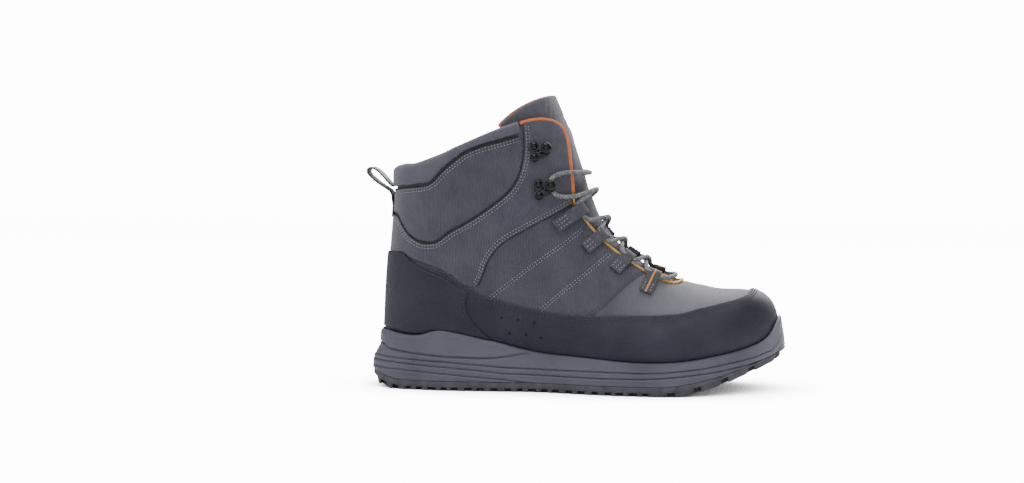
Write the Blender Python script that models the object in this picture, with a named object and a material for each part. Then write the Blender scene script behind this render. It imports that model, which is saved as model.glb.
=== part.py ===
"""Wading boot, right shoe: an assembly of separate solids, metres, +Z up.

+X points to the toe, -Y to the outer side. The origin is on the floor under the middle of
the heel, HEEL_CENTRE in front of its back.
The upper, its overlays, the tongue, the insole and the cup of the sole all come from one
surface, the last: a fan of sections from the collar, round the instep, to the toe.
A place on it is a row number down the fan and a rise from the back or bottom line (0) to
the front or top line (1).
"""
import bmesh
import bpy
import numpy as np

MM = 0.001

# Driving sizes
SOLE_LENGTH = 318 * MM
HEEL_CENTRE = 52 * MM
HEEL_MARGIN = 9 * MM
TOE_MARGIN = 6 * MM
BALL_WIDTH = 98 * MM
ANKLE_WIDTH = 76 * MM
SHAFT_HEIGHT = 197 * MM
INSTEP_HEIGHT = 88.5 * MM
TOE_HEIGHT = 60.5 * MM
HEEL_STACK = 29 * MM
BALL_STACK = 18.5 * MM
TOE_SPRING = 22.5 * MM
HEEL_BEVEL = 8 * MM
WALL = 2.2 * MM
GAP = 0.3 * MM
INNER_GAP = 1 * MM
SAG_CLEARANCE = 1.4
FAN_CLEARANCE = 0.25 * MM
RAND_THICKNESS = 1.6 * MM
COUNTER_THICKNESS = 1.4 * MM
PANEL_THICKNESS = 1.2 * MM
CUFF_THICKNESS = 3 * MM
CUFF_LINING = 2.8 * MM
TONGUE_THICKNESS = 5 * MM
INSOLE_THICKNESS = 5 * MM
SOLE_MARGIN = 5.6 * MM
GROOVE_DEPTH = 1 * MM
HEEL_CLIP_STEP = 0.9 * MM
OUTSOLE_THICKNESS = 8.5 * MM
TOE_OUTSOLE_THICKNESS = 5 * MM
LUG_DEPTH = 4 * MM
LUG_PITCH = 19 * MM
LUG_GAP = 4.5 * MM
LUG_MARGIN = 4 * MM
LACE_DIAMETER = 3.4 * MM
WEBBING_WIDTH = 10 * MM
WEBBING_THICKNESS = 1.3 * MM
LOOP_EYE = 5.2 * MM
HOOK_WIDTH = 8 * MM
HOOK_THICKNESS = 1.2 * MM
HOOK_CROOK = 5 * MM
PULL_LOOP_WIDTH = 14 * MM
PULL_LOOP_REACH = 24 * MM
PULL_LOOP_THICKNESS = 2 * MM

LAST_LENGTH = SOLE_LENGTH - HEEL_MARGIN - TOE_MARGIN
RAND_FACE = GAP + RAND_THICKNESS
CUP_FACE = RAND_FACE + GAP
PANEL_FACE = GAP + FAN_CLEARANCE + PANEL_THICKNESS
HEEL_START = HEEL_MARGIN - HEEL_CENTRE
HALF_COLUMNS = 26
COLUMN_LENGTH = 14 * MM
COLUMN_BEND = 0.35

# Sections of the shaft, top to bottom. X is a share of the last's length, Z of the shaft's
# height over the heel seat, the centre's shift of the ball width. The six half widths, at
# 15, 50 and 85 percent of the way from back to front, are shares of the ankle width.
# back x, back z, front x, front z, centre, outer low, mid, high, inner low, mid, high
SHAFT_SECTIONS = [
    (0.043, 0.827, 0.442, 1.040, 0, 0.380, 0.513, 0.370, 0.380, 0.513, 0.370),
    (0.041, 0.706, 0.465, 0.959, 0, 0.380, 0.513, 0.370, 0.380, 0.513, 0.370),
    (0.037, 0.579, 0.488, 0.873, 0, 0.380, 0.507, 0.370, 0.380, 0.507, 0.370),
    (0.030, 0.452, 0.505, 0.802, 0, 0.388, 0.507, 0.370, 0.388, 0.507, 0.370),
    (0.024, 0.335, 0.518, 0.741, 0, 0.400, 0.500, 0.370, 0.400, 0.507, 0.370),
    (0.019, 0.218, 0.530, 0.685, 0, 0.412, 0.493, 0.362, 0.412, 0.500, 0.362),
    (0.016, 0.107, 0.538, 0.640, 0, 0.427, 0.487, 0.355, 0.427, 0.490, 0.355),
    (0.034, 0.010, 0.550, 0.594, 0, 0.437, 0.480, 0.345, 0.437, 0.480, 0.345),
]

# Sections of the midfoot. The bottom point lies on the seat, front Z is a share of the
# instep height over the ball seat, half widths are shares of the ball width.
# bottom x, front x, front z, centre, outer low, mid, high, inner low, mid, high
FOOT_SECTIONS = [
    (0.152, 0.568, 1.294, 0.000, 0.360, 0.372, 0.255, 0.355, 0.365, 0.255),
    (0.284, 0.601, 1.124, -0.005, 0.378, 0.378, 0.255, 0.347, 0.365, 0.255),
    (0.416, 0.640, 1.000, -0.005, 0.410, 0.400, 0.265, 0.367, 0.388, 0.265),
    (0.531, 0.690, 0.876, 0.000, 0.459, 0.449, 0.286, 0.408, 0.428, 0.296),
    (0.630, 0.746, 0.774, 0.010, 0.500, 0.490, 0.306, 0.459, 0.469, 0.316),
]

# Sections of the toe, with the same columns: front Z is a share of the toe height.
TOE_SECTIONS = [
    (0.723, 0.809, 1.030, 0.025, 0.510, 0.500, 0.316, 0.480, 0.490, 0.337),
    (0.802, 0.871, 0.982, 0.041, 0.469, 0.469, 0.306, 0.459, 0.480, 0.337),
    (0.868, 0.927, 0.972, 0.061, 0.388, 0.398, 0.276, 0.408, 0.429, 0.306),
    (0.917, 0.967, 0.900, 0.082, 0.296, 0.316, 0.214, 0.327, 0.347, 0.245),
    (0.954, 0.990, 0.769, 0.092, 0.194, 0.224, 0.153, 0.224, 0.255, 0.184),
    (0.977, 1.000, 0.570, 0.097, 0.092, 0.117, 0.082, 0.112, 0.138, 0.097),
    (0.993, 0.993, 0.372, 0.097, 0, 0, 0, 0, 0, 0),
]
LOW, MID, HIGH = 0.15, 0.5, 0.85

# Seams on the last. Each line pairs a point on the lower seam with one on the upper seam:
# lower row, lower rise, upper row, upper rise, from the heel's centre line to the front.
UPPER_SEAMS = [
    (6.95, 0.000, 1.05, 0.000),
    (7.15, 0.045, 1.18, 0.100),
    (7.50, 0.052, 1.29, 0.220),
    (7.90, 0.050, 1.27, 0.370),
    (8.30, 0.045, 1.23, 0.520),
    (8.70, 0.045, 1.21, 0.660),
    (9.10, 0.045, 1.18, 0.770),
    (9.50, 0.045, 1.28, 0.870),
    (9.90, 0.045, 1.50, 0.935),
    (10.25, 0.047, 2.00, 0.965),
    (10.60, 0.050, 3.10, 0.957),
    (11.00, 0.050, 4.20, 0.943),
    (11.40, 0.050, 5.45, 0.930),
    (11.90, 0.050, 6.60, 0.926),
    (12.50, 0.050, 8.15, 0.936),
    (13.20, 0.050, 9.30, 0.944),
    (14.00, 0.054, 10.50, 0.944),
    (15.00, 0.060, 11.40, 0.944),
    (16.20, 0.070, 12.00, 0.952),
    (17.30, 0.110, 12.24, 0.966),
    (18.05, 0.300, 12.34, 0.982),
    (18.35, 0.620, 12.37, 0.992),
    (18.45, 1.000, 12.38, 1.000),
]
CUP_SEAMS = [
    (6.95, 0.000, 6.25, 0.000),
    (7.15, 0.045, 6.45, 0.040),
    (7.35, 0.050, 6.84, 0.089),
    (7.60, 0.052, 7.30, 0.125),
    (7.85, 0.050, 7.46, 0.152),
    (8.10, 0.048, 7.65, 0.163),
    (8.35, 0.045, 7.99, 0.152),
    (8.70, 0.045, 8.48, 0.133),
    (9.10, 0.045, 9.04, 0.113),
    (9.60, 0.045, 9.57, 0.092),
    (10.10, 0.045, 10.06, 0.092),
    (10.70, 0.050, 10.76, 0.118),
    (11.30, 0.050, 11.34, 0.132),
    (12.00, 0.050, 12.00, 0.135),
    (12.70, 0.050, 12.69, 0.143),
    (13.50, 0.050, 13.55, 0.156),
    (14.30, 0.055, 14.32, 0.168),
    (15.20, 0.060, 15.26, 0.165),
    (16.30, 0.070, 16.22, 0.178),
    (17.30, 0.110, 17.02, 0.236),
    (18.05, 0.300, 17.50, 0.420),
    (18.35, 0.620, 17.66, 0.720),
    (18.45, 1.000, 17.68, 1.000),
]
# The cup's floor runs round the bottom line, in step with the seams of the cup: row, rise.
FLOOR_SEAM = [
    (7.10, 0.000), (7.22, 0.025), (7.38, 0.034), (7.60, 0.036), (7.85, 0.034), (8.10, 0.033),
    (8.35, 0.032), (8.70, 0.032), (9.10, 0.032), (9.60, 0.032), (10.10, 0.032), (10.70, 0.034),
    (11.30, 0.034), (12.00, 0.034), (12.70, 0.034), (13.50, 0.034), (14.30, 0.038),
    (15.20, 0.044), (16.30, 0.052), (17.20, 0.070), (17.85, 0.075), (18.20, 0.050), (18.30, 0.000),
]
RAND_SEAMS = [
    (6.70, 0.000, 3.72, 0.000),
    (6.95, 0.050, 3.95, 0.080),
    (7.20, 0.085, 4.38, 0.145),
    (7.60, 0.100, 5.34, 0.282),
    (7.90, 0.100, 6.22, 0.364),
    (8.20, 0.095, 7.05, 0.413),
    (8.55, 0.090, 7.60, 0.405),
    (8.90, 0.085, 8.23, 0.398),
    (9.40, 0.070, 9.12, 0.399),
    (9.95, 0.070, 9.92, 0.426),
    (10.60, 0.085, 10.70, 0.492),
    (11.20, 0.095, 11.30, 0.557),
    (12.00, 0.100, 12.07, 0.618),
    (12.80, 0.105, 12.84, 0.693),
    (13.70, 0.110, 13.50, 0.775),
    (14.60, 0.115, 14.10, 0.838),
    (15.50, 0.120, 14.60, 0.876),
    (16.40, 0.130, 14.90, 0.910),
    (17.20, 0.170, 15.08, 0.945),
    (17.85, 0.350, 15.17, 0.975),
    (18.15, 0.650, 15.20, 0.990),
    (18.20, 1.000, 15.22, 1.000),
]
COUNTER_SEAMS = [
    (6.15, 0.000, 3.58, 0.000),
    (6.33, 0.046, 3.84, 0.080),
    (6.72, 0.098, 4.34, 0.145),
    (7.18, 0.138, 5.42, 0.275),
    (7.36, 0.166, 6.00, 0.335),
    (7.58, 0.176, 6.50, 0.372),
    (7.94, 0.167, 6.85, 0.393),
    (8.42, 0.150, 7.00, 0.398),
    (8.80, 0.136, 7.10, 0.398),
]
CUFF_SEAMS = [
    (1.55, 0.000, 0.90, 0.000),
    (1.60, 0.045, 0.98, 0.065),
    (1.74, 0.139, 1.11, 0.137),
    (1.88, 0.228, 1.16, 0.223),
    (1.82, 0.271, 1.17, 0.285),
    (1.62, 0.320, 1.16, 0.335),
    (1.49, 0.380, 1.13, 0.385),
    (1.36, 0.457, 1.11, 0.460),
    (1.36, 0.550, 1.09, 0.550),
    (1.42, 0.639, 1.08, 0.645),
    (1.49, 0.740, 1.10, 0.745),
]
ANKLE_SEAMS = [
    (2.33, 0.000, 1.66, 0.000),
    (2.43, 0.037, 1.70, 0.040),
    (2.86, 0.083, 1.79, 0.100),
    (3.28, 0.123, 1.87, 0.150),
    (3.81, 0.196, 1.96, 0.200),
    (4.10, 0.266, 2.00, 0.238),
    (4.11, 0.302, 1.94, 0.274),
    (4.03, 0.361, 1.77, 0.318),
    (4.03, 0.442, 1.62, 0.378),
    (3.95, 0.524, 1.48, 0.455),
    (3.70, 0.637, 1.48, 0.550),
    (3.41, 0.687, 1.55, 0.635),
    (3.02, 0.716, 1.60, 0.695),
    (2.30, 0.745, 1.62, 0.725),
    (1.78, 0.757, 1.64, 0.745),
]
QUARTER_SEAMS = [
    (3.60, 0.000, 2.42, 0.000),
    (3.82, 0.075, 2.53, 0.042),
    (4.24, 0.145, 3.00, 0.090),
    (4.66, 0.210, 3.42, 0.132),
    (5.18, 0.283, 3.95, 0.205),
    (5.68, 0.335, 4.20, 0.270),
    (6.04, 0.367, 4.21, 0.305),
    (6.54, 0.400, 4.13, 0.362),
    (6.92, 0.424, 4.12, 0.440),
    (7.10, 0.440, 4.05, 0.525),
    (6.80, 0.490, 3.80, 0.645),
    (6.36, 0.527, 3.45, 0.698),
    (6.05, 0.575, 3.02, 0.728),
    (5.97, 0.620, 2.30, 0.760),
    (5.98, 0.650, 1.75, 0.775),
    (6.03, 0.690, 1.24, 0.790),
    (6.08, 0.730, 1.24, 0.830),
    (6.14, 0.770, 1.35, 0.880),
    (6.22, 0.810, 1.57, 0.932),
    (6.28, 0.850, 2.05, 0.958),
    (6.33, 0.880, 3.10, 0.949),
    (6.36, 0.903, 4.20, 0.936),
    (6.38, 0.912, 5.35, 0.923),
]

# Tongue stations: row at its edge, rise at its edge, row on the centre line.
TONGUE_STATIONS = [
    (0.95, 0.665, 0.47),
    (1.35, 0.690, 1.00),
    (2.10, 0.730, 1.90),
    (3.00, 0.760, 3.00),
    (4.50, 0.780, 4.50),
    (6.00, 0.800, 6.00),
    (7.50, 0.820, 7.50),
    (9.00, 0.830, 9.00),
    (10.50, 0.840, 10.50),
    (11.80, 0.870, 11.80),
    (12.60, 0.910, 12.60),
]

# Webbing loops from the ankle down: base row, base rise, end row, end rise.
LOOP_PLACES = [
    (7.02, 0.829, 7.02, 0.935),
    (8.62, 0.850, 8.62, 0.950),
    (10.05, 0.842, 10.10, 0.957),
    (11.42, 0.800, 11.32, 0.945),
]
# Hooks from the top down: rear row, rear rise, front row, front rise.
HOOK_PLACES = [
    (2.46, 0.800, 2.60, 0.872),
    (4.33, 0.788, 4.53, 0.856),
]
# Half of the lace, from the bar at the toe end to the tuck behind the flap: row, rise,
# height over the last in lace diameters, and the side, -1 outer or 1 inner.
LACE_ROUTE = [
    (12.05, 1.000, 0.55, 1),
    (11.92, 0.965, 1.00, -1),
    (11.62, 0.929, 1.25, -1),
    (11.12, 0.931, 1.25, -1),
    (10.90, 0.957, 1.00, -1),
    (10.72, 1.000, 0.55, 1),
    (10.52, 0.970, 1.00, 1),
    (10.32, 0.946, 1.25, 1),
    (9.85, 0.944, 1.25, 1),
    (9.60, 0.968, 1.00, 1),
    (9.38, 1.000, 0.55, 1),
    (9.15, 0.966, 1.00, -1),
    (8.90, 0.940, 1.25, -1),
    (8.35, 0.938, 1.25, -1),
    (8.22, 0.960, 1.00, -1),
    (8.00, 1.000, 0.55, 1),
    (7.82, 0.962, 1.00, 1),
    (7.45, 0.926, 1.25, 1),
    (6.58, 0.923, 1.25, 1),
    (6.32, 0.955, 1.05, 1),
    (6.10, 1.000, 0.55, 1),
    (5.82, 0.950, 1.05, -1),
    (5.46, 0.885, 1.50, -1),
    (4.98, 0.848, 1.62, -1),
    (4.49, 0.842, 1.63, -1),
    (4.12, 0.848, 1.62, -1),
    (4.10, 0.892, 1.45, -1),
    (4.45, 0.952, 1.20, -1),
    (4.86, 1.000, 0.45, 1),
    (4.75, 0.985, 0.00, 1),
]
# The pull loop in side view, in shares of its reach, from its tail up, round and back.
PULL_LOOP_ROUTE = [
    (0.00, -0.90), (0.00, -0.50), (-0.04, -0.18), (-0.18, -0.01), (-0.42, 0.14), (-0.70, 0.36),
    (-0.84, 0.53), (-0.80, 0.66), (-0.60, 0.64), (-0.34, 0.42), (-0.12, 0.17), (0.00, 0.08),
]


class Spline:
    """Natural cubic through equally spaced rows of a table."""

    def __init__(self, table):
        self.table = np.asarray(table, float)
        self.count = len(self.table)
        system = np.eye(self.count)
        right = np.zeros_like(self.table)
        for i in range(1, self.count - 1):
            system[i, i - 1:i + 2] = 1, 4, 1
            right[i] = 6 * (self.table[i + 1] - 2 * self.table[i] + self.table[i - 1])
        self.moments = np.linalg.solve(system, right)

    def __call__(self, at):
        at = np.asarray(at, float)
        i = np.clip(at.astype(int), 0, self.count - 2)
        f = (at - i)[..., None]
        g = 1 - f
        return (self.table[i] * g + self.table[i + 1] * f
                + (g ** 3 - g) * self.moments[i] / 6 + (f ** 3 - f) * self.moments[i + 1] / 6)


def smoothstep(low, high, value):
    """0 below low, 1 above high, smooth between."""
    f = np.clip((np.asarray(value, float) - low) / (high - low), 0, 1)
    return f * f * (3 - 2 * f)


def seat(share):
    """Height of the last's bottom line at a share of its length: heel seat, ball, toe spring."""
    heel = 1 - smoothstep(0.25, 0.62, share)
    spring = np.clip((np.asarray(share, float) - 0.70) / 0.30, 0, None) ** 2.2
    return BALL_STACK + (HEEL_STACK - BALL_STACK) * heel + TOE_SPRING * spring


def section_table():
    """The three tables at their real sizes: back x, z, front x, z, centre, six half widths."""
    table = []
    for back_x, back_z, front_x, front_z, centre, *widths in SHAFT_SECTIONS:
        table.append([HEEL_START + back_x * LAST_LENGTH, HEEL_STACK + back_z * SHAFT_HEIGHT,
                      HEEL_START + front_x * LAST_LENGTH, HEEL_STACK + front_z * SHAFT_HEIGHT,
                      centre * BALL_WIDTH] + [width * ANKLE_WIDTH for width in widths])
    for sections, height in ((FOOT_SECTIONS, INSTEP_HEIGHT), (TOE_SECTIONS, TOE_HEIGHT)):
        for bottom_x, front_x, front_z, centre, *widths in sections:
            table.append([HEEL_START + bottom_x * LAST_LENGTH, float(seat(bottom_x)),
                          HEEL_START + front_x * LAST_LENGTH, BALL_STACK + front_z * height,
                          centre * BALL_WIDTH] + [width * BALL_WIDTH for width in widths])
    table[-1][1] = table[-1][3]
    return table


LAST = Spline(section_table())


def angle(rise):
    """The angle round a section that stands for a rise from 0 to 1."""
    return np.arccos(1 - 2 * np.asarray(rise, float))


def on_last(row, turn):
    """Point of the last at a row and an angle: outer side for positive angles under pi."""
    row, turn = np.broadcast_arrays(np.asarray(row, float), np.asarray(turn, float))
    line = LAST(row)
    rise = (1 - np.cos(turn)) / 2
    side = np.sin(turn)
    first = np.where(side >= 0, 5, 8)[..., None]
    low, mid, high = (np.take_along_axis(line, first + i, -1)[..., 0] for i in range(3))
    end_share = 2 * np.sqrt(LOW * (1 - LOW))
    width = (low / end_share * (rise - MID) * (rise - HIGH) / ((LOW - MID) * (LOW - HIGH))
             + mid * (rise - LOW) * (rise - HIGH) / ((MID - LOW) * (MID - HIGH))
             + high / end_share * (rise - LOW) * (rise - MID) / ((HIGH - LOW) * (HIGH - MID)))
    return np.stack([line[..., 0] + (line[..., 2] - line[..., 0]) * rise,
                     line[..., 4] - side * width,
                     line[..., 1] + (line[..., 3] - line[..., 1]) * rise], -1)


def off_last(row, turn, height):
    """Point at a height over the last's surface, and the surface's outward normal."""
    step = 0.02
    along = on_last(row + step, turn) - on_last(row - step, turn)
    around = on_last(row, turn + step) - on_last(row, turn - step)
    normal = np.cross(along, around)
    normal /= np.linalg.norm(normal, axis=-1, keepdims=True)
    return on_last(row, turn) + normal * np.asarray(height, float)[..., None], normal


def seam(points, at):
    """Smooth path through (row, rise) points, mirrored at centre lines, at given steps along
    them: 0 for the first point, 1 for the second."""
    path = np.array([(row, float(angle(rise))) for row, rise in points])
    ends = []
    for end, neighbour in ((path[0], path[1]), (path[-1], path[-2])):
        centred = end[1] < 1e-6 or end[1] > np.pi - 1e-6
        ends.append([neighbour[0] if centred else 2 * end[0] - neighbour[0],
                     2 * end[1] - neighbour[1]])
    path = np.vstack([ends[0], path, ends[1]])
    i = np.clip(at.astype(int), 0, len(points) - 2)
    f = (at - i)[:, None]
    a, b, c, d = (path[i + k] for k in range(4))
    return b + f * (c - a + f * (2 * a - 5 * b + 4 * c - d + f * (3 * (b - c) + d - a))) / 2


def between(lower, upper, share):
    """Places between two seams."""
    return lower + (upper - lower) * share


def seam_pair(seams, at):
    """The lower and the upper seam of a table of seams."""
    return seam([line[:2] for line in seams], at), seam([line[2:] for line in seams], at)


def column_steps(seams, count):
    """Steps along a table of seams for its columns, closer where the form bends more."""
    fine = np.linspace(0, len(seams) - 1, 10 * len(seams))
    lower, upper = seam_pair(seams, fine)
    density = 0
    for share in (0, 0.5, 1):
        place = between(lower, upper, share)
        stride = np.diff(on_last(place[:, 0], place[:, 1]), axis=0)
        length = np.linalg.norm(stride, axis=1)
        ahead = stride / np.maximum(length, 0.01 * MM)[:, None]
        bend = np.linalg.norm(np.diff(ahead, axis=0), axis=1)
        density = density + length / COLUMN_LENGTH + np.append(bend[0], bend) / COLUMN_BEND
    measure = np.append(0, np.cumsum(density))
    return np.interp(np.linspace(0, measure[-1], count + 1), measure, fine)


def material(name, colour, roughness, metallic=0.0):
    """One Principled material."""
    made = bpy.data.materials.new(name)
    made.use_nodes = True
    shader = made.node_tree.nodes["Principled BSDF"]
    shader.inputs["Base Color"].default_value = (*colour, 1)
    shader.inputs["Roughness"].default_value = roughness
    shader.inputs["Metallic"].default_value = metallic
    return made


def add_mesh(name, points, faces, finish):
    """A mesh object with outward normals from points and faces."""
    mesh = bpy.data.meshes.new(name)
    mesh.from_pydata([tuple(point) for point in points], [], faces)
    shape = bmesh.new()
    shape.from_mesh(mesh)
    bmesh.ops.recalc_face_normals(shape, faces=shape.faces)
    bmesh.ops.triangulate(shape, faces=shape.faces)
    shape.to_mesh(mesh)
    shape.free()
    mesh.shade_smooth()
    mesh.set_sharp_from_angle(angle=0.6)
    mesh.materials.append(finish)
    thing = bpy.data.objects.new(name, mesh)
    bpy.context.scene.collection.objects.link(thing)
    return thing


def ring_faces(rings, columns, closed):
    """Quads between rings of points: ring r, column c is point r * columns + c."""
    faces = []
    for r in range(rings if closed else rings - 1):
        for c in range(columns):
            s, n = (r + 1) % rings, (c + 1) % columns
            faces.append((r * columns + c, r * columns + n, s * columns + n, s * columns + c))
    return faces


def column_places(seams, side, half_columns=HALF_COLUMNS):
    """Lower and upper places of each column, outer side, inner side, round the back or all round."""
    lower, upper = seam_pair(seams, column_steps(seams, half_columns))
    flip = np.array([1, -1])
    if side == "outer":
        return lower, upper
    if side == "inner":
        return lower * flip, upper * flip
    if side == "back":
        return (np.vstack([lower[::-1], lower[1:] * flip]),
                np.vstack([upper[::-1], upper[1:] * flip]))
    return (np.vstack([lower, (lower * flip)[-2:0:-1]]),
            np.vstack([upper, (upper * flip)[-2:0:-1]]))


def bend_sag(before, here, after, normal):
    """How far flat facets between three points fall below the curved surface through them."""
    first, second = here - before, after - here
    short, long = np.sort([np.linalg.norm(first, axis=-1), np.linalg.norm(second, axis=-1)], axis=0)
    share = np.linalg.norm(first, axis=-1) / np.maximum(short + long, 0.1 * MM)
    rise = ((here - before - (after - before) * share[..., None]) * normal).sum(-1)
    sag = long * np.maximum(rise, 0) / (4 * np.maximum(short, 0.1 * MM))
    return np.where(short < 0.1 * MM, 0, sag)


def facet_sag(points, normals, closed):
    """The sag of the facets along a row of points."""
    sag = bend_sag(np.roll(points, 1, axis=0), points, np.roll(points, -1, axis=0), normals)
    if not closed:
        sag[0], sag[-1] = sag[1], sag[-2]
    return sag


def slab(name, seams, side, profile, finish, half_columns=HALF_COLUMNS, clear=True):
    """A closed solid between two seams. Each profile line is outer share, outer height,
    inner share, inner height; the first and last lines are its two edges. The inner face
    stands off by the sag of its facets, so that they clear the form below, and the outer
    face follows it where the wall would get thin."""
    lower, upper = column_places(seams, side, half_columns)
    columns = len(lower)
    closed = side == "round"
    lines = [line[:2] for line in profile] + [line[2:] for line in reversed(profile)]
    places = [between(lower, upper, share) for share, _ in lines]
    heights = [np.full(columns, float(height)) for _, height in lines]
    if clear:
        bare, normals = zip(*[off_last(place[:, 0], place[:, 1], 0) for place in places])
        first, last = len(profile), len(lines) - 1
        for k in range(first, last + 1):
            middle = min(max(k, first + 1), last - 1)
            sag = SAG_CLEARANCE * (facet_sag(bare[k], normals[k], closed)
                                   + bend_sag(*bare[middle - 1:middle + 2], normals[middle]))
            away = 1 if lines[k][1] > -WALL / 2 else -1
            wall = lines[last - k][1] - lines[k][1]
            heights[k] += away * sag
            heights[last - k] += max(away, 0) * np.maximum(sag - 0.75 * wall, 0)
    grid = np.array([off_last(place[:, 0], place[:, 1], height)[0]
                     for place, height in zip(places, heights)])
    rings = len(lines)
    faces = [face for face in ring_faces(rings, columns, True)
             if closed or max(i % columns for i in face) - min(i % columns for i in face) == 1]
    if not closed:
        for c in (0, columns - 1):
            for r in range(len(profile) - 1):
                s = rings - 1 - r
                faces.append((r * columns + c, (r + 1) * columns + c,
                              (s - 1) * columns + c, s * columns + c))
    return add_mesh(name, grid.reshape(-1, 3), faces, finish)


def flat_profile(spans, base, thickness):
    """Profile of an overlay of even thickness."""
    return [(share, base + thickness, share, base) for share in np.linspace(0, 1, spans + 1)]


def make_upper(finish):
    """The one hollow shell, open at collar, throat and underneath."""
    shares = (0, 0.08, 0.19, 0.33, 0.49, 0.66, 0.83, 1)
    slab("upper", UPPER_SEAMS, "round", [(s, 0, s, -WALL) for s in shares], finish, clear=False)


def make_overlays(finishes):
    """Rand with toe cap, heel counter, quarter and ankle panels and the collar cuff."""
    slab("rand", RAND_SEAMS, "round", flat_profile(5, GAP, RAND_THICKNESS), finishes["rand"], 28)
    slab("heel_counter", COUNTER_SEAMS, "back",
         flat_profile(5, CUP_FACE, COUNTER_THICKNESS), finishes["rand"], 12)
    slab("quarter", QUARTER_SEAMS, "back",
         flat_profile(5, GAP + FAN_CLEARANCE, PANEL_THICKNESS), finishes["textile"], 20)
    slab("ankle_panel", ANKLE_SEAMS, "back",
         flat_profile(3, GAP, PANEL_THICKNESS), finishes["textile"], 13)
    lining = -WALL - INNER_GAP
    cuff = [
        (0.00, GAP + 0.35 * CUFF_THICKNESS, 0.00, GAP),
        (0.25, GAP + 0.9 * CUFF_THICKNESS, 0.25, GAP),
        (0.60, GAP + CUFF_THICKNESS, 0.60, GAP),
        (0.88, GAP + 0.7 * CUFF_THICKNESS, 0.88, GAP),
        (1.02, -0.5 * WALL, 0.88, lining),
        (0.88, lining - 0.8 * CUFF_LINING, 0.70, lining),
        (0.55, lining - CUFF_LINING, 0.50, lining),
        (0.20, lining - 0.4 * CUFF_LINING, 0.20, lining),
    ]
    slab("cuff", CUFF_SEAMS, "back", cuff, finishes["cuff"], 14)


def make_tongue(finish):
    """Padded tongue under the throat, its wings inside the cuff's lining."""
    stations = Spline([(row, float(angle(rise)), centre) for row, rise, centre in TONGUE_STATIONS])
    rows = 14
    across = np.array([0, 0.08, 0.22, 0.36, 0.5, 0.64, 0.78, 0.92, 1])
    hidden = -WALL - 2 * INNER_GAP - CUFF_LINING
    under = -WALL - 2 * INNER_GAP
    shown = -WALL - GAP
    face = np.array([hidden, hidden, under, shown, shown, shown, under, hidden, hidden])
    depth = TONGUE_THICKNESS * np.array([0.35, 0.45, 0.8, 1, 1, 1, 0.8, 0.45, 0.35])
    lengthwise = stations(np.linspace(0, len(TONGUE_STATIONS) - 1, rows))
    outside, inside = [], []
    for edge_row, edge_turn, centre_row in lengthwise:
        row = edge_row + (centre_row - edge_row) * np.sin(np.pi * across)
        turn = edge_turn + (2 * np.pi - 2 * edge_turn) * across
        outside.append(off_last(row, turn, face)[0])
        inside.append(off_last(row, turn, face - depth)[0])
    rings = [np.vstack([a, b[::-1]]) for a, b in zip(outside, inside)]
    columns = 2 * len(across)
    faces = ring_faces(rows, columns, False)
    for ring in (0, rows - 1):
        for c in range(len(across) - 1):
            far = columns - 1 - c
            faces.append(tuple(ring * columns + i for i in (c, c + 1, far - 1, far)))
    add_mesh("tongue", np.vstack(rings), faces, finish)


def ladder(ring_start, columns):
    """Quads that fill a ring across, from each outer column to the inner column facing it."""
    half = columns // 2
    faces = [(ring_start, ring_start + 1, ring_start + columns - 1)]
    for c in range(1, half - 1):
        faces.append((ring_start + c, ring_start + c + 1,
                      ring_start + columns - c - 1, ring_start + columns - c))
    faces.append((ring_start + half - 1, ring_start + half, ring_start + half + 1))
    return faces


def floor_ring(widen, height):
    """Ring near the cup's floor: its rise times widen, at a height over the last."""
    half = seam([(row, rise * widen) for row, rise in FLOOR_SEAM], column_steps(CUP_SEAMS, HALF_COLUMNS))
    places = np.vstack([half, (half * np.array([1, -1]))[-2:0:-1]])
    return off_last(places[:, 0], places[:, 1], height)[0]


def make_insole(finish):
    """Footbed on the cup's floor, inside the upper's lower rim."""
    floor = floor_ring(1, CUP_FACE)[:, 2] + 2 * GAP
    foot = floor_ring(0.9, -WALL - GAP)
    foot[:, 2] = floor
    waist = floor_ring(1.4, -WALL - INNER_GAP)
    brim = floor_ring(2.0, -WALL - INNER_GAP)
    columns = len(foot)
    partner = np.roll(brim[::-1], 1, axis=0)
    dish = brim + (partner - brim) * 0.16
    dish[:, 0] += (brim[0, 0] + brim[columns // 2, 0] - 2 * brim[:, 0]) * 0.03
    dish[:, 2] = floor + INSOLE_THICKNESS
    brim[:, 2] = np.maximum(brim[:, 2], dish[:, 2] + 2 * GAP)
    waist[:, 2] = np.minimum(waist[:, 2], brim[:, 2] - 2 * GAP)
    faces = ring_faces(4, columns, False) + ladder(0, columns) + ladder(3 * columns, columns)
    add_mesh("insole", np.vstack([foot, waist, brim, dish]), faces, finish)


def sole_share(x):
    """How far along the sole a place is, from 0 at the back of the heel to 1."""
    return (np.asarray(x, float) + HEEL_CENTRE) / SOLE_LENGTH


def ground(x):
    """Lowest line of the sole: heel bevel, flat, toe spring."""
    share = sole_share(x)
    heel = HEEL_BEVEL * np.clip(1 - share / 0.10, 0, None) ** 1.6
    toe = TOE_SPRING * 1.26 * np.clip((share - 0.725) / 0.275, 0, None) ** 1.5
    return heel + toe


def outsole_top(x):
    """Line between the outsole and the midsole."""
    toe = smoothstep(0.72, 1, sole_share(x))
    return ground(x) + OUTSOLE_THICKNESS + (TOE_OUTSOLE_THICKNESS - OUTSOLE_THICKNESS) * toe


def sole_stations(back, front):
    """Stations along the sole: its ends, and the rear and front of each row of lugs."""
    count = int(round((front - back - 2 * LUG_MARGIN) / LUG_PITCH))
    pitch = (front - back - 2 * LUG_MARGIN) / count
    stations = [back + 0.5 * MM]
    for i in range(count):
        start = back + LUG_MARGIN + i * pitch
        stations += [start + LUG_GAP / 2, start + pitch - LUG_GAP / 2]
    return np.array(stations + [front - 0.5 * MM])


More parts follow.
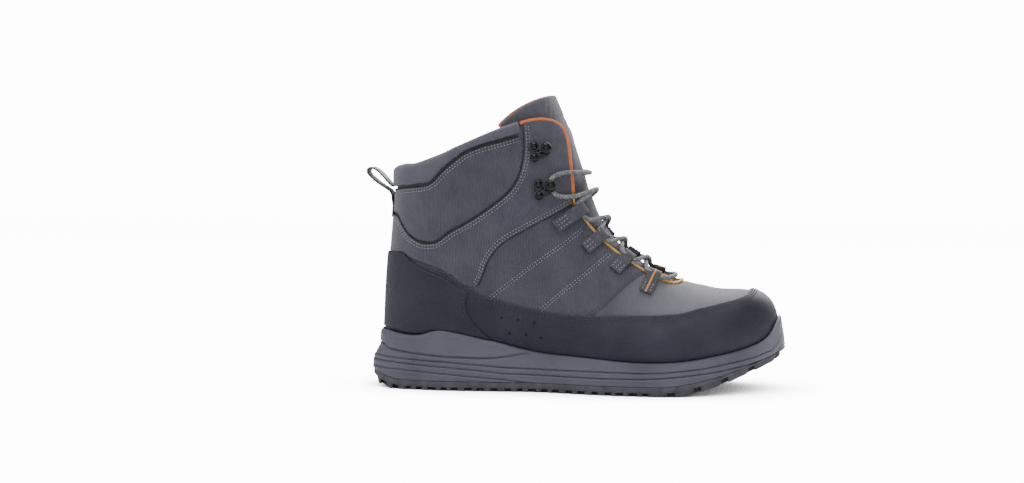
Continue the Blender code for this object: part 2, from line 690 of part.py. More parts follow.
def cup_wall(lower, upper):
    """Three rings of the cup's inner wall, clear of the rand."""
    places = [between(lower, upper, share) for share in (0, 0.5, 1)]
    bare, normals = zip(*[off_last(place[:, 0], place[:, 1], 0) for place in places])
    bulge = bend_sag(*bare, normals[1])
    heights = [CUP_FACE + SAG_CLEARANCE * (facet_sag(ring, normal, True) + bulge)
               for ring, normal in zip(bare, normals)]
    return [off_last(place[:, 0], place[:, 1], height)[0]
            for place, height in zip(places, heights)]


def cup_edge():
    """Top edge of the cup all round, its plan normals and the sole's margin there."""
    lower, upper = column_places(CUP_SEAMS, "round")
    edge = cup_wall(lower, upper)[-1]
    tangent = np.roll(edge, -1, axis=0) - np.roll(edge, 1, axis=0)
    outward = np.stack([-tangent[:, 1], tangent[:, 0], 0 * tangent[:, 0]], -1)
    outward /= -np.linalg.norm(outward, axis=1, keepdims=True)
    share = (edge[:, 0] - HEEL_START) / LAST_LENGTH
    margin = np.interp(share, [0, 0.15, 0.45, 0.70, 0.9, 1], [1.55, 1, 0.85, 1, 0.9, 0.95])
    return lower, upper, edge, outward, margin * SOLE_MARGIN


def make_midsole(finish):
    """Foam cup with its heel clip step, side grooves and toe bumper."""
    lower, upper, edge, outward, margin = cup_edge()
    columns = len(lower)
    cavity = cup_wall(lower, upper)
    heel = 1 - smoothstep(0.38, 0.44, sole_share(edge[:, 0]))
    groove = GROOVE_DEPTH / SOLE_MARGIN
    # Share of the wall's height, share of the margin, whether the heel clip stands there.
    wall = [(1.02, 0.20, 0), (0.95, 0.48, 1), (0.64, 0.68, 1), (0.60, 0.70 - groove, 0),
            (0.57, 0.74, 0), (0.42, 0.86, 0), (0.385, 0.87 - groove, 0), (0.35, 0.90, 0),
            (0.28, 0.93, 0), (0.245, 0.94 - groove, 0), (0.21, 0.96, 0), (0.0, 1.0, 0)]
    rings = [floor_ring(1, CUP_FACE), *cavity]
    plan = edge + outward * margin[:, None]
    stations = sole_stations(plan[0, 0], plan[columns // 2, 0])
    for height_share, margin_share, clip in wall:
        place = edge + outward * (margin * margin_share + clip * heel * HEEL_CLIP_STEP)[:, None]
        base = np.interp(place[:, 0], stations, outsole_top(stations)) + GAP
        place[:, 2] = base + (edge[:, 2] - base) * height_share
        rings.append(place)
    faces = ring_faces(len(rings), columns, False)
    faces += ladder(0, columns) + ladder((len(rings) - 1) * columns, columns)
    add_mesh("midsole", np.vstack(rings), faces, finish)


def make_outsole(finish):
    """Rubber plate with separate lugs: heel and ball flat on the floor."""
    edge, outward, margin = cup_edge()[2:]
    plan = edge + outward * margin[:, None]
    half = len(plan) // 2
    sides = [plan[:half + 1], np.vstack([plan[half:], plan[:1]])[::-1]]
    stations = sole_stations(plan[0, 0], plan[half, 0])
    across = np.array([0, 0.30, 0.35, 0.65, 0.70, 1])
    wide = len(across)
    top, bottom = [], []
    for x in stations:
        outer, inner = (np.interp(x, side[:, 0], side[:, 1]) for side in sides)
        y = outer + (inner - outer) * across
        top.append(np.stack([0 * y + x, y, 0 * y + outsole_top(x)], -1))
        bottom.append(np.stack([0 * y + x, y, 0 * y + ground(x) + LUG_DEPTH], -1))
    points = np.vstack(top + bottom)
    rows = len(stations)
    under = rows * wide
    faces, lugs = [], []
    for r in range(rows - 1):
        for c in range(wide - 1):
            quad = [r * wide + c, r * wide + c + 1, (r + 1) * wide + c + 1, (r + 1) * wide + c]
            faces.append(tuple(quad))
            faces.append(tuple(under + i for i in reversed(quad)))
            if r % 2 == 1 and c % 2 == 0:
                lugs.append(len(faces) - 1)
        for c in (0, wide - 1):
            faces.append((r * wide + c, (r + 1) * wide + c, under + (r + 1) * wide + c,
                          under + r * wide + c))
    for r in (0, rows - 1):
        for c in range(wide - 1):
            faces.append((r * wide + c, r * wide + c + 1, under + r * wide + c + 1,
                          under + r * wide + c))
    mesh = bpy.data.meshes.new("lugs")
    mesh.from_pydata([tuple(point) for point in points], [], faces)
    shape = bmesh.new()
    shape.from_mesh(mesh)
    bpy.data.meshes.remove(mesh)
    shape.faces.ensure_lookup_table()
    lug_faces = [shape.faces[i] for i in lugs]
    made = bmesh.ops.extrude_discrete_faces(shape, faces=lug_faces)
    for face in made["faces"]:
        for corner in face.verts:
            corner.co.z = float(ground(corner.co.x))
    shape.verts.index_update()
    points = [tuple(corner.co) for corner in shape.verts]
    faces = [tuple(corner.index for corner in face.verts) for face in shape.faces]
    shape.free()
    add_mesh("outsole", points, faces, finish)


def strap_points(place, outline, width, base):
    """Points of an outline of (length share, height) that follows the surface from a rear to
    a front place, at both edges of a strap of the given width."""
    rear_row, rear_rise, front_row, front_rise, side = place
    length_share = np.array([point[0] for point in outline])
    height = np.array([point[1] for point in outline])
    row = rear_row + (front_row - rear_row) * length_share
    turn = (angle(rear_rise) + (angle(front_rise) - angle(rear_rise)) * length_share) * -side
    centre, normal = off_last(row, turn, base + height)
    middle = len(outline) // 4
    chord = centre[middle] - centre[0]
    across = np.cross(normal[0] + normal[middle], chord)
    across /= np.linalg.norm(across)
    return centre - across * width / 2, centre + across * width / 2


def make_loop(name, place, finish):
    """Folded webbing with an eye for the lace, sewn flat at its base."""
    t = WEBBING_THICKNESS
    eye = LOOP_EYE
    outside = [(0, 0), (0.5, 0), (0.95, 0), (1.20, 0.2 * eye), (1.29, t + 0.5 * eye),
               (1.20, 2 * t + 0.8 * eye), (0.95, 2 * t + eye), (0.5, 2 * t + 0.8 * eye),
               (0, 2 * t)]
    inside = [(0.14, 0.98 * t), (0.5, t), (0.92, t), (1.09, t + 0.2 * eye), (1.15, t + 0.5 * eye),
              (1.09, t + 0.8 * eye), (0.92, t + eye), (0.5, t + 0.75 * eye), (0.14, 1.02 * t)]
    rings = [*strap_points(place, outside, WEBBING_WIDTH, 3 * GAP),
             *strap_points(place, inside, WEBBING_WIDTH, 3 * GAP)]
    count = len(outside)
    order = [rings[0], rings[1], rings[3], rings[2]]
    add_mesh(name, np.vstack(order), ring_faces(4, count, True), finish)


def make_hook(name, place, finish):
    """Speed hook: plate on the quarter and a crook that turns back over the lace."""
    t = HOOK_THICKNESS
    c = HOOK_CROOK
    below = [(-0.55, 0), (0.2, 0), (0.95, 0), (1.35, 0.3 * c), (1.5, t + 0.5 * c),
             (1.35, 2 * t + 0.75 * c), (1.0, 2 * t + c), (0.45, 2 * t + 0.9 * c)]
    above = [(-0.55, t), (0.2, t), (0.9, t), (1.12, t + 0.25 * c), (1.2, t + 0.5 * c),
             (1.12, t + 0.75 * c), (0.9, t + c), (0.45, t + 0.9 * c)]
    rings = [*strap_points(place, below, HOOK_WIDTH, PANEL_FACE + GAP),
             *strap_points(place, above, HOOK_WIDTH, PANEL_FACE + GAP)]
    order = [rings[0], rings[1], rings[3], rings[2]]
    count = len(below)
    faces = [face for face in ring_faces(4, count, True)
             if max(i % count for i in face) - min(i % count for i in face) == 1]
    for i in (0, count - 1):
        faces.append((i, count + i, 2 * count + i, 3 * count + i))
    add_mesh(name, np.vstack(order), faces, finish)


def tube(name, path, radius, sides, finish):
    """Round tube along a path, with flat ends."""
    path = np.asarray(path)
    tangent = np.gradient(path, axis=0)
    tangent /= np.linalg.norm(tangent, axis=1, keepdims=True)
    side = np.cross(tangent[0], (0, 0, 1))
    points = []
    for centre, ahead in zip(path, tangent):
        side = side - ahead * (side @ ahead)
        side /= np.linalg.norm(side)
        up = np.cross(ahead, side)
        for k in range(sides):
            turn = 2 * np.pi * k / sides
            points.append(centre + radius * (side * np.cos(turn) + up * np.sin(turn)))
    faces = ring_faces(len(path), sides, False)
    faces += [tuple(range(sides)), tuple((len(path) - 1) * sides + k for k in range(sides))]
    return add_mesh(name, points, faces, finish)


def make_lace(finish):
    """Bar, crossings and turns round the low hooks, both halves joined where they cross."""
    halves = []
    for mirror in (1, -1):
        turns = []
        for row, rise, height, side in LACE_ROUTE:
            turn = float(angle(rise)) * -side * mirror
            turns.append((row, turn % (2 * np.pi), height * LACE_DIAMETER))
        places = np.array(turns)
        route = off_last(places[:, 0], places[:, 1], places[:, 2])[0]
        smooth = Spline(route)(np.linspace(0, len(route) - 1, int(1.5 * len(route))))
        halves.append(tube("lace" if mirror == 1 else "lace_second_half", smooth,
                           LACE_DIAMETER / 2 * (1 if mirror == 1 else 0.985), 5, finish))
    lace, other = halves
    other.hide_render = True
    other.display_type = 'WIRE'
    join = lace.modifiers.new("join", 'BOOLEAN')
    join.operation = 'UNION'
    join.object = other


def make_pull_loop(finish):
    """Webbing loop that stands off the heel's back seam."""
    anchor = off_last(np.array(1.62), np.array(0.0), PANEL_FACE + 2 * GAP)[0]
    route = [anchor + PULL_LOOP_REACH * np.array([x, 0, z]) for x, z in PULL_LOOP_ROUTE]
    centre = Spline(route)(np.linspace(0, len(route) - 1, 23))
    for point in centre:
        rows = np.linspace(0.9, 3.4, 60)
        back = off_last(rows, 0 * rows, PANEL_FACE + GAP + PULL_LOOP_THICKNESS / 2)[0]
        limit = np.interp(point[2], back[::-1, 2], back[::-1, 0])
        point[0] = min(point[0], limit)
    along = np.gradient(centre, axis=0)
    normal = np.cross(along, (0, 1, 0))
    normal /= np.linalg.norm(normal, axis=1, keepdims=True)
    lift = normal * PULL_LOOP_THICKNESS / 2
    edge = np.array([0, PULL_LOOP_WIDTH / 2, 0])
    order = [centre - lift - edge, centre - lift + edge, centre + lift + edge, centre + lift - edge]
    count = len(centre)
    faces = [face for face in ring_faces(4, count, True)
             if max(i % count for i in face) - min(i % count for i in face) == 1]
    for i in (0, count - 1):
        faces.append((i, count + i, 2 * count + i, 3 * count + i))
    add_mesh("pull_loop", np.vstack(order), faces, finish)


def main():
    for thing in list(bpy.data.objects):
        bpy.data.objects.remove(thing)
    finishes = {
        "textile": material("woven textile", (0.075, 0.078, 0.092), 0.85),
        "cuff": material("stretch knit", (0.045, 0.048, 0.062), 0.9),
        "rand": material("synthetic nubuck", (0.03, 0.031, 0.04), 0.6),
        "foam": material("moulded foam", (0.12, 0.125, 0.145), 0.7),
        "rubber": material("sole rubber", (0.02, 0.02, 0.022), 0.75),
        "webbing": material("webbing", (0.16, 0.17, 0.16), 0.8),
        "lace": material("lace braid", (0.18, 0.19, 0.18), 0.8),
        "metal": material("black coated steel", (0.02, 0.02, 0.022), 0.35, 0.8),
        "footbed": material("footbed foam", (0.05, 0.05, 0.055), 0.9),
    }
    make_outsole(finishes["rubber"])
    make_midsole(finishes["foam"])
    make_insole(finishes["footbed"])
    make_upper(finishes["textile"])
    make_overlays(finishes)
    make_tongue(finishes["textile"])
    for side_name, side in (("outer", -1), ("inner", 1)):
        for i, place in enumerate(LOOP_PLACES):
            make_loop(f"lace_loop_{side_name}_{i + 1}", (*place, side), finishes["webbing"])
        for level, place in zip(("high", "low"), HOOK_PLACES):
            make_hook(f"hook_{side_name}_{level}", (*place, side), finishes["metal"])
    make_lace(finishes["lace"])
    make_pull_loop(finishes["webbing"])


main()
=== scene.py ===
"""Looks of a wading boot, right shoe, built round its packed frame.

Every panel is cut from one surface, the last, with the frame's own sections: a place on it
is a row number down the sections and a turn round them, 0 at the heel or sole and pi at the
throat or toe. Positive turns are the outer side. The surface here is the fine one, with its
soft creases, and each panel is a closed piece of real thickness with rolled edges.
"""

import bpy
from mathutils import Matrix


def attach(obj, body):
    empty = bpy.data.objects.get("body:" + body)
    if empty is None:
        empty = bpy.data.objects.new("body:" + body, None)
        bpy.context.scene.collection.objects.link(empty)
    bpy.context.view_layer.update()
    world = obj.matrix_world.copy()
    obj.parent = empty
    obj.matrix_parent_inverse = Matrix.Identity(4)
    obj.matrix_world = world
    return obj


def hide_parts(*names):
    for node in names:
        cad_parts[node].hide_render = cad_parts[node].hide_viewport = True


bl_info = {
    "name": "Wading boot",
    "version": (1, 0, 0),
    "blender": (4, 5, 0),
    "location": "3D View > Sidebar > Boot",
    "description": "Builds the visible pieces of a wading boot round its packed frame",
    "category": "Object",
}

from math import cos, pi, radians, sin

import bmesh
import bpy
import numpy as np
from bpy.props import FloatProperty, PointerProperty
from mathutils import Matrix, Vector

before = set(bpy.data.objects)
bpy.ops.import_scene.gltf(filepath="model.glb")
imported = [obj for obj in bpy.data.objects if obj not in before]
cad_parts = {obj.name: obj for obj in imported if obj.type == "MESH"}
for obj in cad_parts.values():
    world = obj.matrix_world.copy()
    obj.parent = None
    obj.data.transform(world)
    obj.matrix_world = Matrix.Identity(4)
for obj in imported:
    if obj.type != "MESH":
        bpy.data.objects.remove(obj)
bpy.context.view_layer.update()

MM = 0.001

# Sizes that the frame has too.
SOLE_LENGTH = 318 * MM
HEEL_CENTRE = 52 * MM
HEEL_MARGIN = 9 * MM
TOE_MARGIN = 6 * MM
BALL_WIDTH = 98 * MM
ANKLE_WIDTH = 76 * MM
SHAFT_HEIGHT = 197 * MM
INSTEP_HEIGHT = 88.5 * MM
TOE_HEIGHT = 60.5 * MM
HEEL_STACK = 29 * MM
BALL_STACK = 18.5 * MM
TOE_SPRING = 22.5 * MM
HEEL_BEVEL = 8 * MM
WALL = 2.2 * MM
GAP = 0.3 * MM
LINING_GAP = 1 * MM
RAND_THICKNESS = 1.6 * MM
COUNTER_THICKNESS = 1.4 * MM
PANEL_THICKNESS = 1.2 * MM
CUFF_THICKNESS = 3 * MM
CUFF_LINING = 2.8 * MM
TONGUE_THICKNESS = 5 * MM
INSOLE_THICKNESS = 5 * MM
SOLE_MARGIN = 5.6 * MM
HEEL_CLIP_STEP = 0.9 * MM
OUTSOLE_THICKNESS = 8.5 * MM
TOE_OUTSOLE_THICKNESS = 5 * MM
LUG_DEPTH = 4 * MM
LUG_PITCH = 19 * MM
LUG_GAP = 4.5 * MM
LUG_MARGIN = 4 * MM
LACE_DIAMETER = 3.4 * MM
WEBBING_WIDTH = 10 * MM
WEBBING_THICKNESS = 1.3 * MM
LOOP_EYE = 5.2 * MM
PULL_LOOP_WIDTH = 14 * MM
PULL_LOOP_REACH = 24 * MM
PULL_LOOP_THICKNESS = 1.6 * MM

LAST_LENGTH = SOLE_LENGTH - HEEL_MARGIN - TOE_MARGIN
HEEL_START = HEEL_MARGIN - HEEL_CENTRE
RAND_FACE = GAP + RAND_THICKNESS
CUP_FACE = RAND_FACE + GAP
PANEL_BASE = 2 * GAP
PANEL_FACE = PANEL_BASE + PANEL_THICKNESS

# Sizes that only the looks have.
SAMPLE = 1.3 * MM
CUP_SPACING = 2.2 * MM
SIDE_PANEL_FACE = 0.7 * MM
QUILT_DEPTH = 0.55 * MM
QUILT_WIDTH = 2.4 * MM
LOOP_STRIPE = 1.3 * MM
LACE_STEP = 0.9 * MM
SKIRT_HEIGHT = 4.1 * MM
TOE_SKIRT_RISE = 0.2 * MM
RIVET_RADIUS = 3.3 * MM
RIM_RADIUS = 3.5 * MM
RIM_THICKNESS = 0.42 * MM
HOOK_PLATE = (3.6 * MM, 7.8 * MM)
HOOK_HEAD = (4.1 * MM, 4.8 * MM, 2.7 * MM)
BINDING_RADIUS = 1.1 * MM
TONGUE_ROWS = 110
TONGUE_COLUMNS = 64
SIDE_STITCH_FACE = 0.5 * MM
# Where trim that is sewn over an edge starts: below the surface.
TRIM_SINK = -0.9 * MM

# Turns are positive on the outer side.
SIDES = (("outer", 1), ("inner", -1))
FLIP = np.array([1, -1])

# Sections of the shaft, top to bottom. X is a share of the last's length, Z of the shaft's
# height over the heel seat, the centre's shift of the ball width. The six half widths, at
# 15, 50 and 85 percent of the way from back to front, are shares of the ankle width.
# back x, back z, front x, front z, centre, outer low, mid, high, inner low, mid, high
SHAFT_SECTIONS = [
    (0.043, 0.827, 0.442, 1.040, 0, 0.380, 0.513, 0.370, 0.380, 0.513, 0.370),
    (0.041, 0.706, 0.465, 0.959, 0, 0.380, 0.513, 0.370, 0.380, 0.513, 0.370),
    (0.037, 0.579, 0.488, 0.873, 0, 0.380, 0.507, 0.370, 0.380, 0.507, 0.370),
    (0.030, 0.452, 0.505, 0.802, 0, 0.388, 0.507, 0.370, 0.388, 0.507, 0.370),
    (0.024, 0.335, 0.518, 0.741, 0, 0.400, 0.500, 0.370, 0.400, 0.507, 0.370),
    (0.019, 0.218, 0.530, 0.685, 0, 0.412, 0.493, 0.362, 0.412, 0.500, 0.362),
    (0.016, 0.107, 0.538, 0.640, 0, 0.427, 0.487, 0.355, 0.427, 0.490, 0.355),
    (0.034, 0.010, 0.550, 0.594, 0, 0.437, 0.480, 0.345, 0.437, 0.480, 0.345),
]
# Sections of the midfoot: bottom x, front x, front z over the ball seat as a share of the
# instep height, centre and six half widths as shares of the ball width.
FOOT_SECTIONS = [
    (0.152, 0.568, 1.294, 0.000, 0.360, 0.372, 0.255, 0.355, 0.365, 0.255),
    (0.284, 0.601, 1.124, -0.005, 0.378, 0.378, 0.255, 0.347, 0.365, 0.255),
    (0.416, 0.640, 1.000, -0.005, 0.410, 0.400, 0.265, 0.367, 0.388, 0.265),
    (0.531, 0.690, 0.876, 0.000, 0.459, 0.449, 0.286, 0.408, 0.428, 0.296),
    (0.630, 0.746, 0.774, 0.010, 0.500, 0.490, 0.306, 0.459, 0.469, 0.316),
]
# Sections of the toe, with the same columns: front z is a share of the toe height.
TOE_SECTIONS = [
    (0.723, 0.809, 1.030, 0.025, 0.510, 0.500, 0.316, 0.480, 0.490, 0.337),
    (0.802, 0.871, 0.982, 0.041, 0.469, 0.469, 0.306, 0.459, 0.480, 0.337),
    (0.868, 0.927, 0.972, 0.061, 0.388, 0.398, 0.276, 0.408, 0.429, 0.306),
    (0.917, 0.967, 0.900, 0.082, 0.296, 0.316, 0.214, 0.327, 0.347, 0.245),
    (0.954, 0.990, 0.769, 0.092, 0.194, 0.224, 0.153, 0.224, 0.255, 0.184),
    (0.977, 1.000, 0.570, 0.097, 0.092, 0.117, 0.082, 0.112, 0.138, 0.097),
    (0.993, 0.993, 0.372, 0.097, 0, 0, 0, 0, 0, 0),
]
LOW, MID, HIGH = 0.15, 0.5, 0.85

# Seams on the last. Each line pairs a place on the lower seam with one on the upper seam:
# lower row, lower rise, upper row, upper rise, where rise runs from 0 at the back or bottom
# line to 1 at the front or top line.
UPPER_SEAMS = [
    (6.95, 0.000, 1.05, 0.000), (7.15, 0.045, 1.18, 0.100), (7.50, 0.052, 1.29, 0.220),
    (7.90, 0.050, 1.27, 0.370), (8.30, 0.045, 1.23, 0.520), (8.70, 0.045, 1.21, 0.660),
    (9.10, 0.045, 1.18, 0.770), (9.50, 0.045, 1.28, 0.870), (9.90, 0.045, 1.50, 0.935),
    (10.25, 0.047, 2.00, 0.965), (10.60, 0.050, 3.10, 0.957), (11.00, 0.050, 4.20, 0.943),
    (11.40, 0.050, 5.45, 0.930), (11.90, 0.050, 6.60, 0.926), (12.50, 0.050, 8.15, 0.936),
    (13.20, 0.050, 9.30, 0.944), (14.00, 0.054, 10.50, 0.944), (15.00, 0.060, 11.40, 0.944),
    (16.20, 0.070, 12.00, 0.952), (17.30, 0.110, 12.24, 0.966), (18.05, 0.300, 12.34, 0.982),
    (18.35, 0.620, 12.37, 0.992), (18.45, 1.000, 12.38, 1.000),
]
CUP_SEAMS = [
    (6.95, 0.000, 6.25, 0.000), (7.15, 0.045, 6.45, 0.040), (7.35, 0.050, 6.84, 0.089),
    (7.60, 0.052, 7.30, 0.125), (7.85, 0.050, 7.46, 0.152), (8.10, 0.048, 7.65, 0.163),
    (8.35, 0.045, 7.99, 0.152), (8.70, 0.045, 8.48, 0.133), (9.10, 0.045, 9.04, 0.113),
    (9.60, 0.045, 9.57, 0.092), (10.10, 0.045, 10.06, 0.092), (10.70, 0.050, 10.76, 0.118),
    (11.30, 0.050, 11.34, 0.132), (12.00, 0.050, 12.00, 0.135), (12.70, 0.050, 12.69, 0.143),
    (13.50, 0.050, 13.55, 0.156), (14.30, 0.055, 14.32, 0.168), (15.20, 0.060, 15.26, 0.165),
    (16.30, 0.070, 16.22, 0.178), (17.30, 0.110, 17.02, 0.236), (18.05, 0.300, 17.50, 0.420),
    (18.35, 0.620, 17.66, 0.720), (18.45, 1.000, 17.68, 1.000),
]
# The cup's floor runs round the bottom line, in step with the seams of the cup: row, rise.
FLOOR_SEAM = [
    (7.10, 0.000), (7.22, 0.025), (7.38, 0.034), (7.60, 0.036), (7.85, 0.034), (8.10, 0.033),
    (8.35, 0.032), (8.70, 0.032), (9.10, 0.032), (9.60, 0.032), (10.10, 0.032), (10.70, 0.034),
    (11.30, 0.034), (12.00, 0.034), (12.70, 0.034), (13.50, 0.034), (14.30, 0.038),
    (15.20, 0.044), (16.30, 0.052), (17.20, 0.070), (17.85, 0.075), (18.20, 0.050), (18.30, 0.000),
]
RAND_SEAMS = [
    (6.70, 0.000, 3.72, 0.000), (6.95, 0.050, 3.95, 0.080), (7.20, 0.085, 4.38, 0.145),
    (7.60, 0.100, 5.34, 0.282), (7.90, 0.100, 6.22, 0.364), (8.20, 0.095, 7.05, 0.413),
    (8.55, 0.090, 7.60, 0.405), (8.90, 0.085, 8.23, 0.398), (9.40, 0.070, 9.12, 0.399),
    (9.95, 0.070, 9.92, 0.426), (10.60, 0.085, 10.70, 0.492), (11.20, 0.095, 11.30, 0.557),
    (12.00, 0.100, 12.07, 0.618), (12.80, 0.105, 12.84, 0.693), (13.70, 0.110, 13.50, 0.775),
    (14.60, 0.115, 14.10, 0.838), (15.50, 0.120, 14.60, 0.876), (16.40, 0.130, 14.90, 0.910),
    (17.20, 0.170, 15.08, 0.945), (17.85, 0.350, 15.17, 0.975), (18.15, 0.650, 15.20, 0.990),
    (18.20, 1.000, 15.22, 1.000),
]
COUNTER_SEAMS = [
    (6.15, 0.000, 3.58, 0.000), (6.33, 0.046, 3.84, 0.080), (6.72, 0.098, 4.34, 0.145),
    (7.18, 0.138, 5.42, 0.275), (7.36, 0.166, 6.00, 0.335), (7.58, 0.176, 6.50, 0.372),
    (7.94, 0.167, 6.85, 0.393), (8.42, 0.150, 7.00, 0.398), (8.80, 0.136, 7.10, 0.398),
]
CUFF_SEAMS = [
    (1.55, 0.000, 0.90, 0.000), (1.60, 0.045, 0.98, 0.065), (1.74, 0.139, 1.11, 0.137),
    (1.88, 0.228, 1.16, 0.223), (1.82, 0.271, 1.17, 0.285), (1.62, 0.320, 1.16, 0.335),
    (1.49, 0.380, 1.13, 0.385), (1.36, 0.457, 1.11, 0.460), (1.36, 0.550, 1.09, 0.550),
    (1.42, 0.639, 1.08, 0.645), (1.50, 0.758, 1.11, 0.763),
]
ANKLE_SEAMS = [
    (2.33, 0.000, 1.66, 0.000), (2.43, 0.037, 1.70, 0.040), (2.86, 0.083, 1.79, 0.100),
    (3.28, 0.123, 1.87, 0.150), (3.81, 0.196, 1.96, 0.200), (4.10, 0.266, 2.00, 0.238),
    (4.11, 0.302, 1.94, 0.274), (4.03, 0.361, 1.77, 0.318), (4.03, 0.442, 1.62, 0.378),
    (3.95, 0.524, 1.48, 0.455), (3.70, 0.637, 1.48, 0.550), (3.41, 0.687, 1.55, 0.635),
    (3.02, 0.716, 1.60, 0.695), (2.30, 0.745, 1.62, 0.725), (1.78, 0.757, 1.64, 0.745),
]
QUARTER_SEAMS = [
    (3.60, 0.000, 2.42, 0.000), (3.82, 0.075, 2.53, 0.042), (4.24, 0.145, 3.00, 0.090),
    (4.66, 0.210, 3.42, 0.132), (5.18, 0.283, 3.95, 0.205), (5.68, 0.335, 4.20, 0.270),
    (6.04, 0.367, 4.21, 0.305), (6.54, 0.400, 4.13, 0.362), (6.92, 0.424, 4.12, 0.440),
    (7.10, 0.440, 4.05, 0.525), (6.80, 0.490, 3.80, 0.645), (6.36, 0.527, 3.45, 0.698),
    (6.05, 0.575, 3.02, 0.728), (5.97, 0.620, 2.30, 0.760), (5.98, 0.650, 1.75, 0.775),
    (6.03, 0.690, 1.24, 0.790), (6.08, 0.730, 1.24, 0.830), (6.14, 0.770, 1.35, 0.880),
    (6.22, 0.810, 1.57, 0.932), (6.28, 0.850, 2.05, 0.958), (6.33, 0.880, 3.10, 0.949),
    (6.36, 0.903, 4.20, 0.936), (6.38, 0.912, 5.35, 0.923),
]
# The side panel, from its rear seam under the quarter to its front edge on the vamp.
SIDE_SEAMS = [
    (7.35, 0.340, 10.30, 0.400), (6.95, 0.400, 10.42, 0.470), (6.50, 0.470, 10.52, 0.545),
    (6.05, 0.510, 10.60, 0.616), (5.75, 0.570, 10.66, 0.700), (5.70, 0.650, 10.75, 0.781),
    (5.85, 0.770, 10.86, 0.860), (6.05, 0.900, 10.97, 0.915), (6.12, 0.926, 11.05, 0.941),
]
# Tongue stations: row at its edge, rise at its edge, row on the centre line.
TONGUE_STATIONS = [
    (0.95, 0.665, 0.47), (1.35, 0.690, 1.00), (2.10, 0.730, 1.90), (3.00, 0.760, 3.00),
    (4.50, 0.780, 4.50), (6.00, 0.800, 6.00), (7.50, 0.820, 7.50), (9.00, 0.830, 9.00),
    (10.50, 0.840, 10.50), (11.80, 0.870, 11.80), (12.60, 0.910, 12.60),
]
# Webbing loops from the ankle down: base row, base rise, end row, end rise.
LOOP_PLACES = [
    (7.02, 0.829, 7.02, 0.935), (8.62, 0.850, 8.62, 0.950),
    (10.05, 0.842, 10.10, 0.957), (11.42, 0.800, 11.32, 0.945),
]
# Hooks from the top down: rear row, rear rise, front row, front rise.
HOOK_PLACES = [(2.46, 0.800, 2.60, 0.872), (4.33, 0.788, 4.53, 0.856)]
# Half of the lace, from the bar at the toe end to the tuck behind the flap: row, rise,
# height over the last in lace diameters, and the side, -1 outer or 1 inner.
LACE_ROUTE = [
    (12.05, 1.000, 0.50, 1), (11.92, 0.965, 0.85, -1), (11.62, 0.931, 1.05, -1),
    (11.12, 0.933, 1.05, -1), (10.90, 0.957, 0.85, -1), (10.72, 1.000, 0.55, 1),
    (10.52, 0.970, 0.85, 1), (10.32, 0.948, 1.05, 1), (9.85, 0.946, 1.05, 1),
    (9.60, 0.968, 0.85, 1), (9.38, 1.000, 0.55, 1), (9.15, 0.966, 0.85, -1),
    (8.95, 0.942, 1.05, -1), (8.48, 0.940, 1.05, -1), (8.36, 0.960, 0.85, -1),
    (8.18, 1.000, 0.55, 1), (7.96, 0.962, 0.90, 1), (7.55, 0.929, 1.05, 1),
    (6.68, 0.926, 1.05, 1), (6.50, 0.957, 0.95, 1), (6.36, 1.000, 0.55, 1),
    (6.10, 0.950, 1.05, -1), (5.52, 0.885, 1.50, -1), (4.98, 0.848, 1.62, -1),
    (4.49, 0.842, 1.63, -1), (4.12, 0.848, 1.62, -1), (4.10, 0.892, 1.45, -1),
    (4.45, 0.952, 1.20, -1), (4.86, 1.000, 0.45, 1), (4.75, 0.985, 0.00, 1),
]
# The pull loop in side view, in shares of its reach, from its tail up, round and back.
PULL_LOOP_ROUTE = [
    (0.00, -0.90), (0.00, -0.50), (-0.04, -0.18), (-0.18, -0.01), (-0.42, 0.14), (-0.70, 0.36),
    (-0.84, 0.53), (-0.80, 0.66), (-0.60, 0.64), (-0.34, 0.42), (-0.12, 0.17), (0.00, 0.08),
]
# Soft troughs and ridges: start row, start rise, end row, end rise, depth in mm (minus is a
# ridge), half width in mm, and the side, 1 outer, -1 inner or 0 both.
CREASES = [
    (4.60, 0.520, 5.60, 0.880, 0.9, 7.0, 0),
    (5.50, 0.560, 5.20, 0.900, -0.6, 6.0, 0),
    (3.30, 0.300, 2.50, 0.640, 0.7, 9.0, 0),
    (2.60, 0.180, 2.20, 0.420, -0.6, 9.0, 1),
    (4.40, 0.180, 5.00, 0.460, 0.6, 8.0, 0),
    (3.60, 0.060, 3.30, 0.300, 0.5, 7.0, -1),
    (12.90, 0.560, 12.60, 0.960, 0.8, 6.0, 0),
    (13.50, 0.700, 13.10, 1.000, -0.6, 6.0, 0),
    (12.20, 0.420, 12.70, 0.640, 0.6, 7.0, 1),
    (11.90, 0.700, 11.60, 0.880, -0.5, 5.0, 0),
    (10.20, 0.160, 10.90, 0.360, 0.5, 9.0, 0),
    (13.60, 0.240, 13.10, 0.520, 0.6, 10.0, 0),
    (5.40, 0.100, 5.90, 0.280, 0.4, 9.0, 0),
    (2.20, 0.800, 5.40, 0.840, -0.5, 8.0, 0),
    (3.35, 0.780, 3.35, 0.930, 0.5, 6.0, 0),
]
# Sewn rows on the side panel that pull it in: (row, rise) places from the rand up.
FRONT_QUILT = [(9.17, 0.400), (9.25, 0.589), (9.35, 0.756), (9.44, 0.912)]
REAR_QUILT = [(7.78, 0.400), (7.81, 0.532), (7.85, 0.680), (7.93, 0.785), (7.94, 0.899)]
# The row whose girth the texture follows, round the shaft and round the foot.
BELT_ROWS = {"shaft": 2.5, "foot": 13.0}
# Distances of the stitch rows from their seams, in millimetres.
SEAM_ROWS = (1.4, 3.5)
QUILT_ROWS = (-1.0, 1.0)
SIDE_ROWS = (1.4, 2.9)
RAND_ROWS = (1.7, 3.3, 4.9)
COUNTER_ROWS = (2.0, 4.0)
BOX_ROWS = (-3.1, 0.0, 3.1)
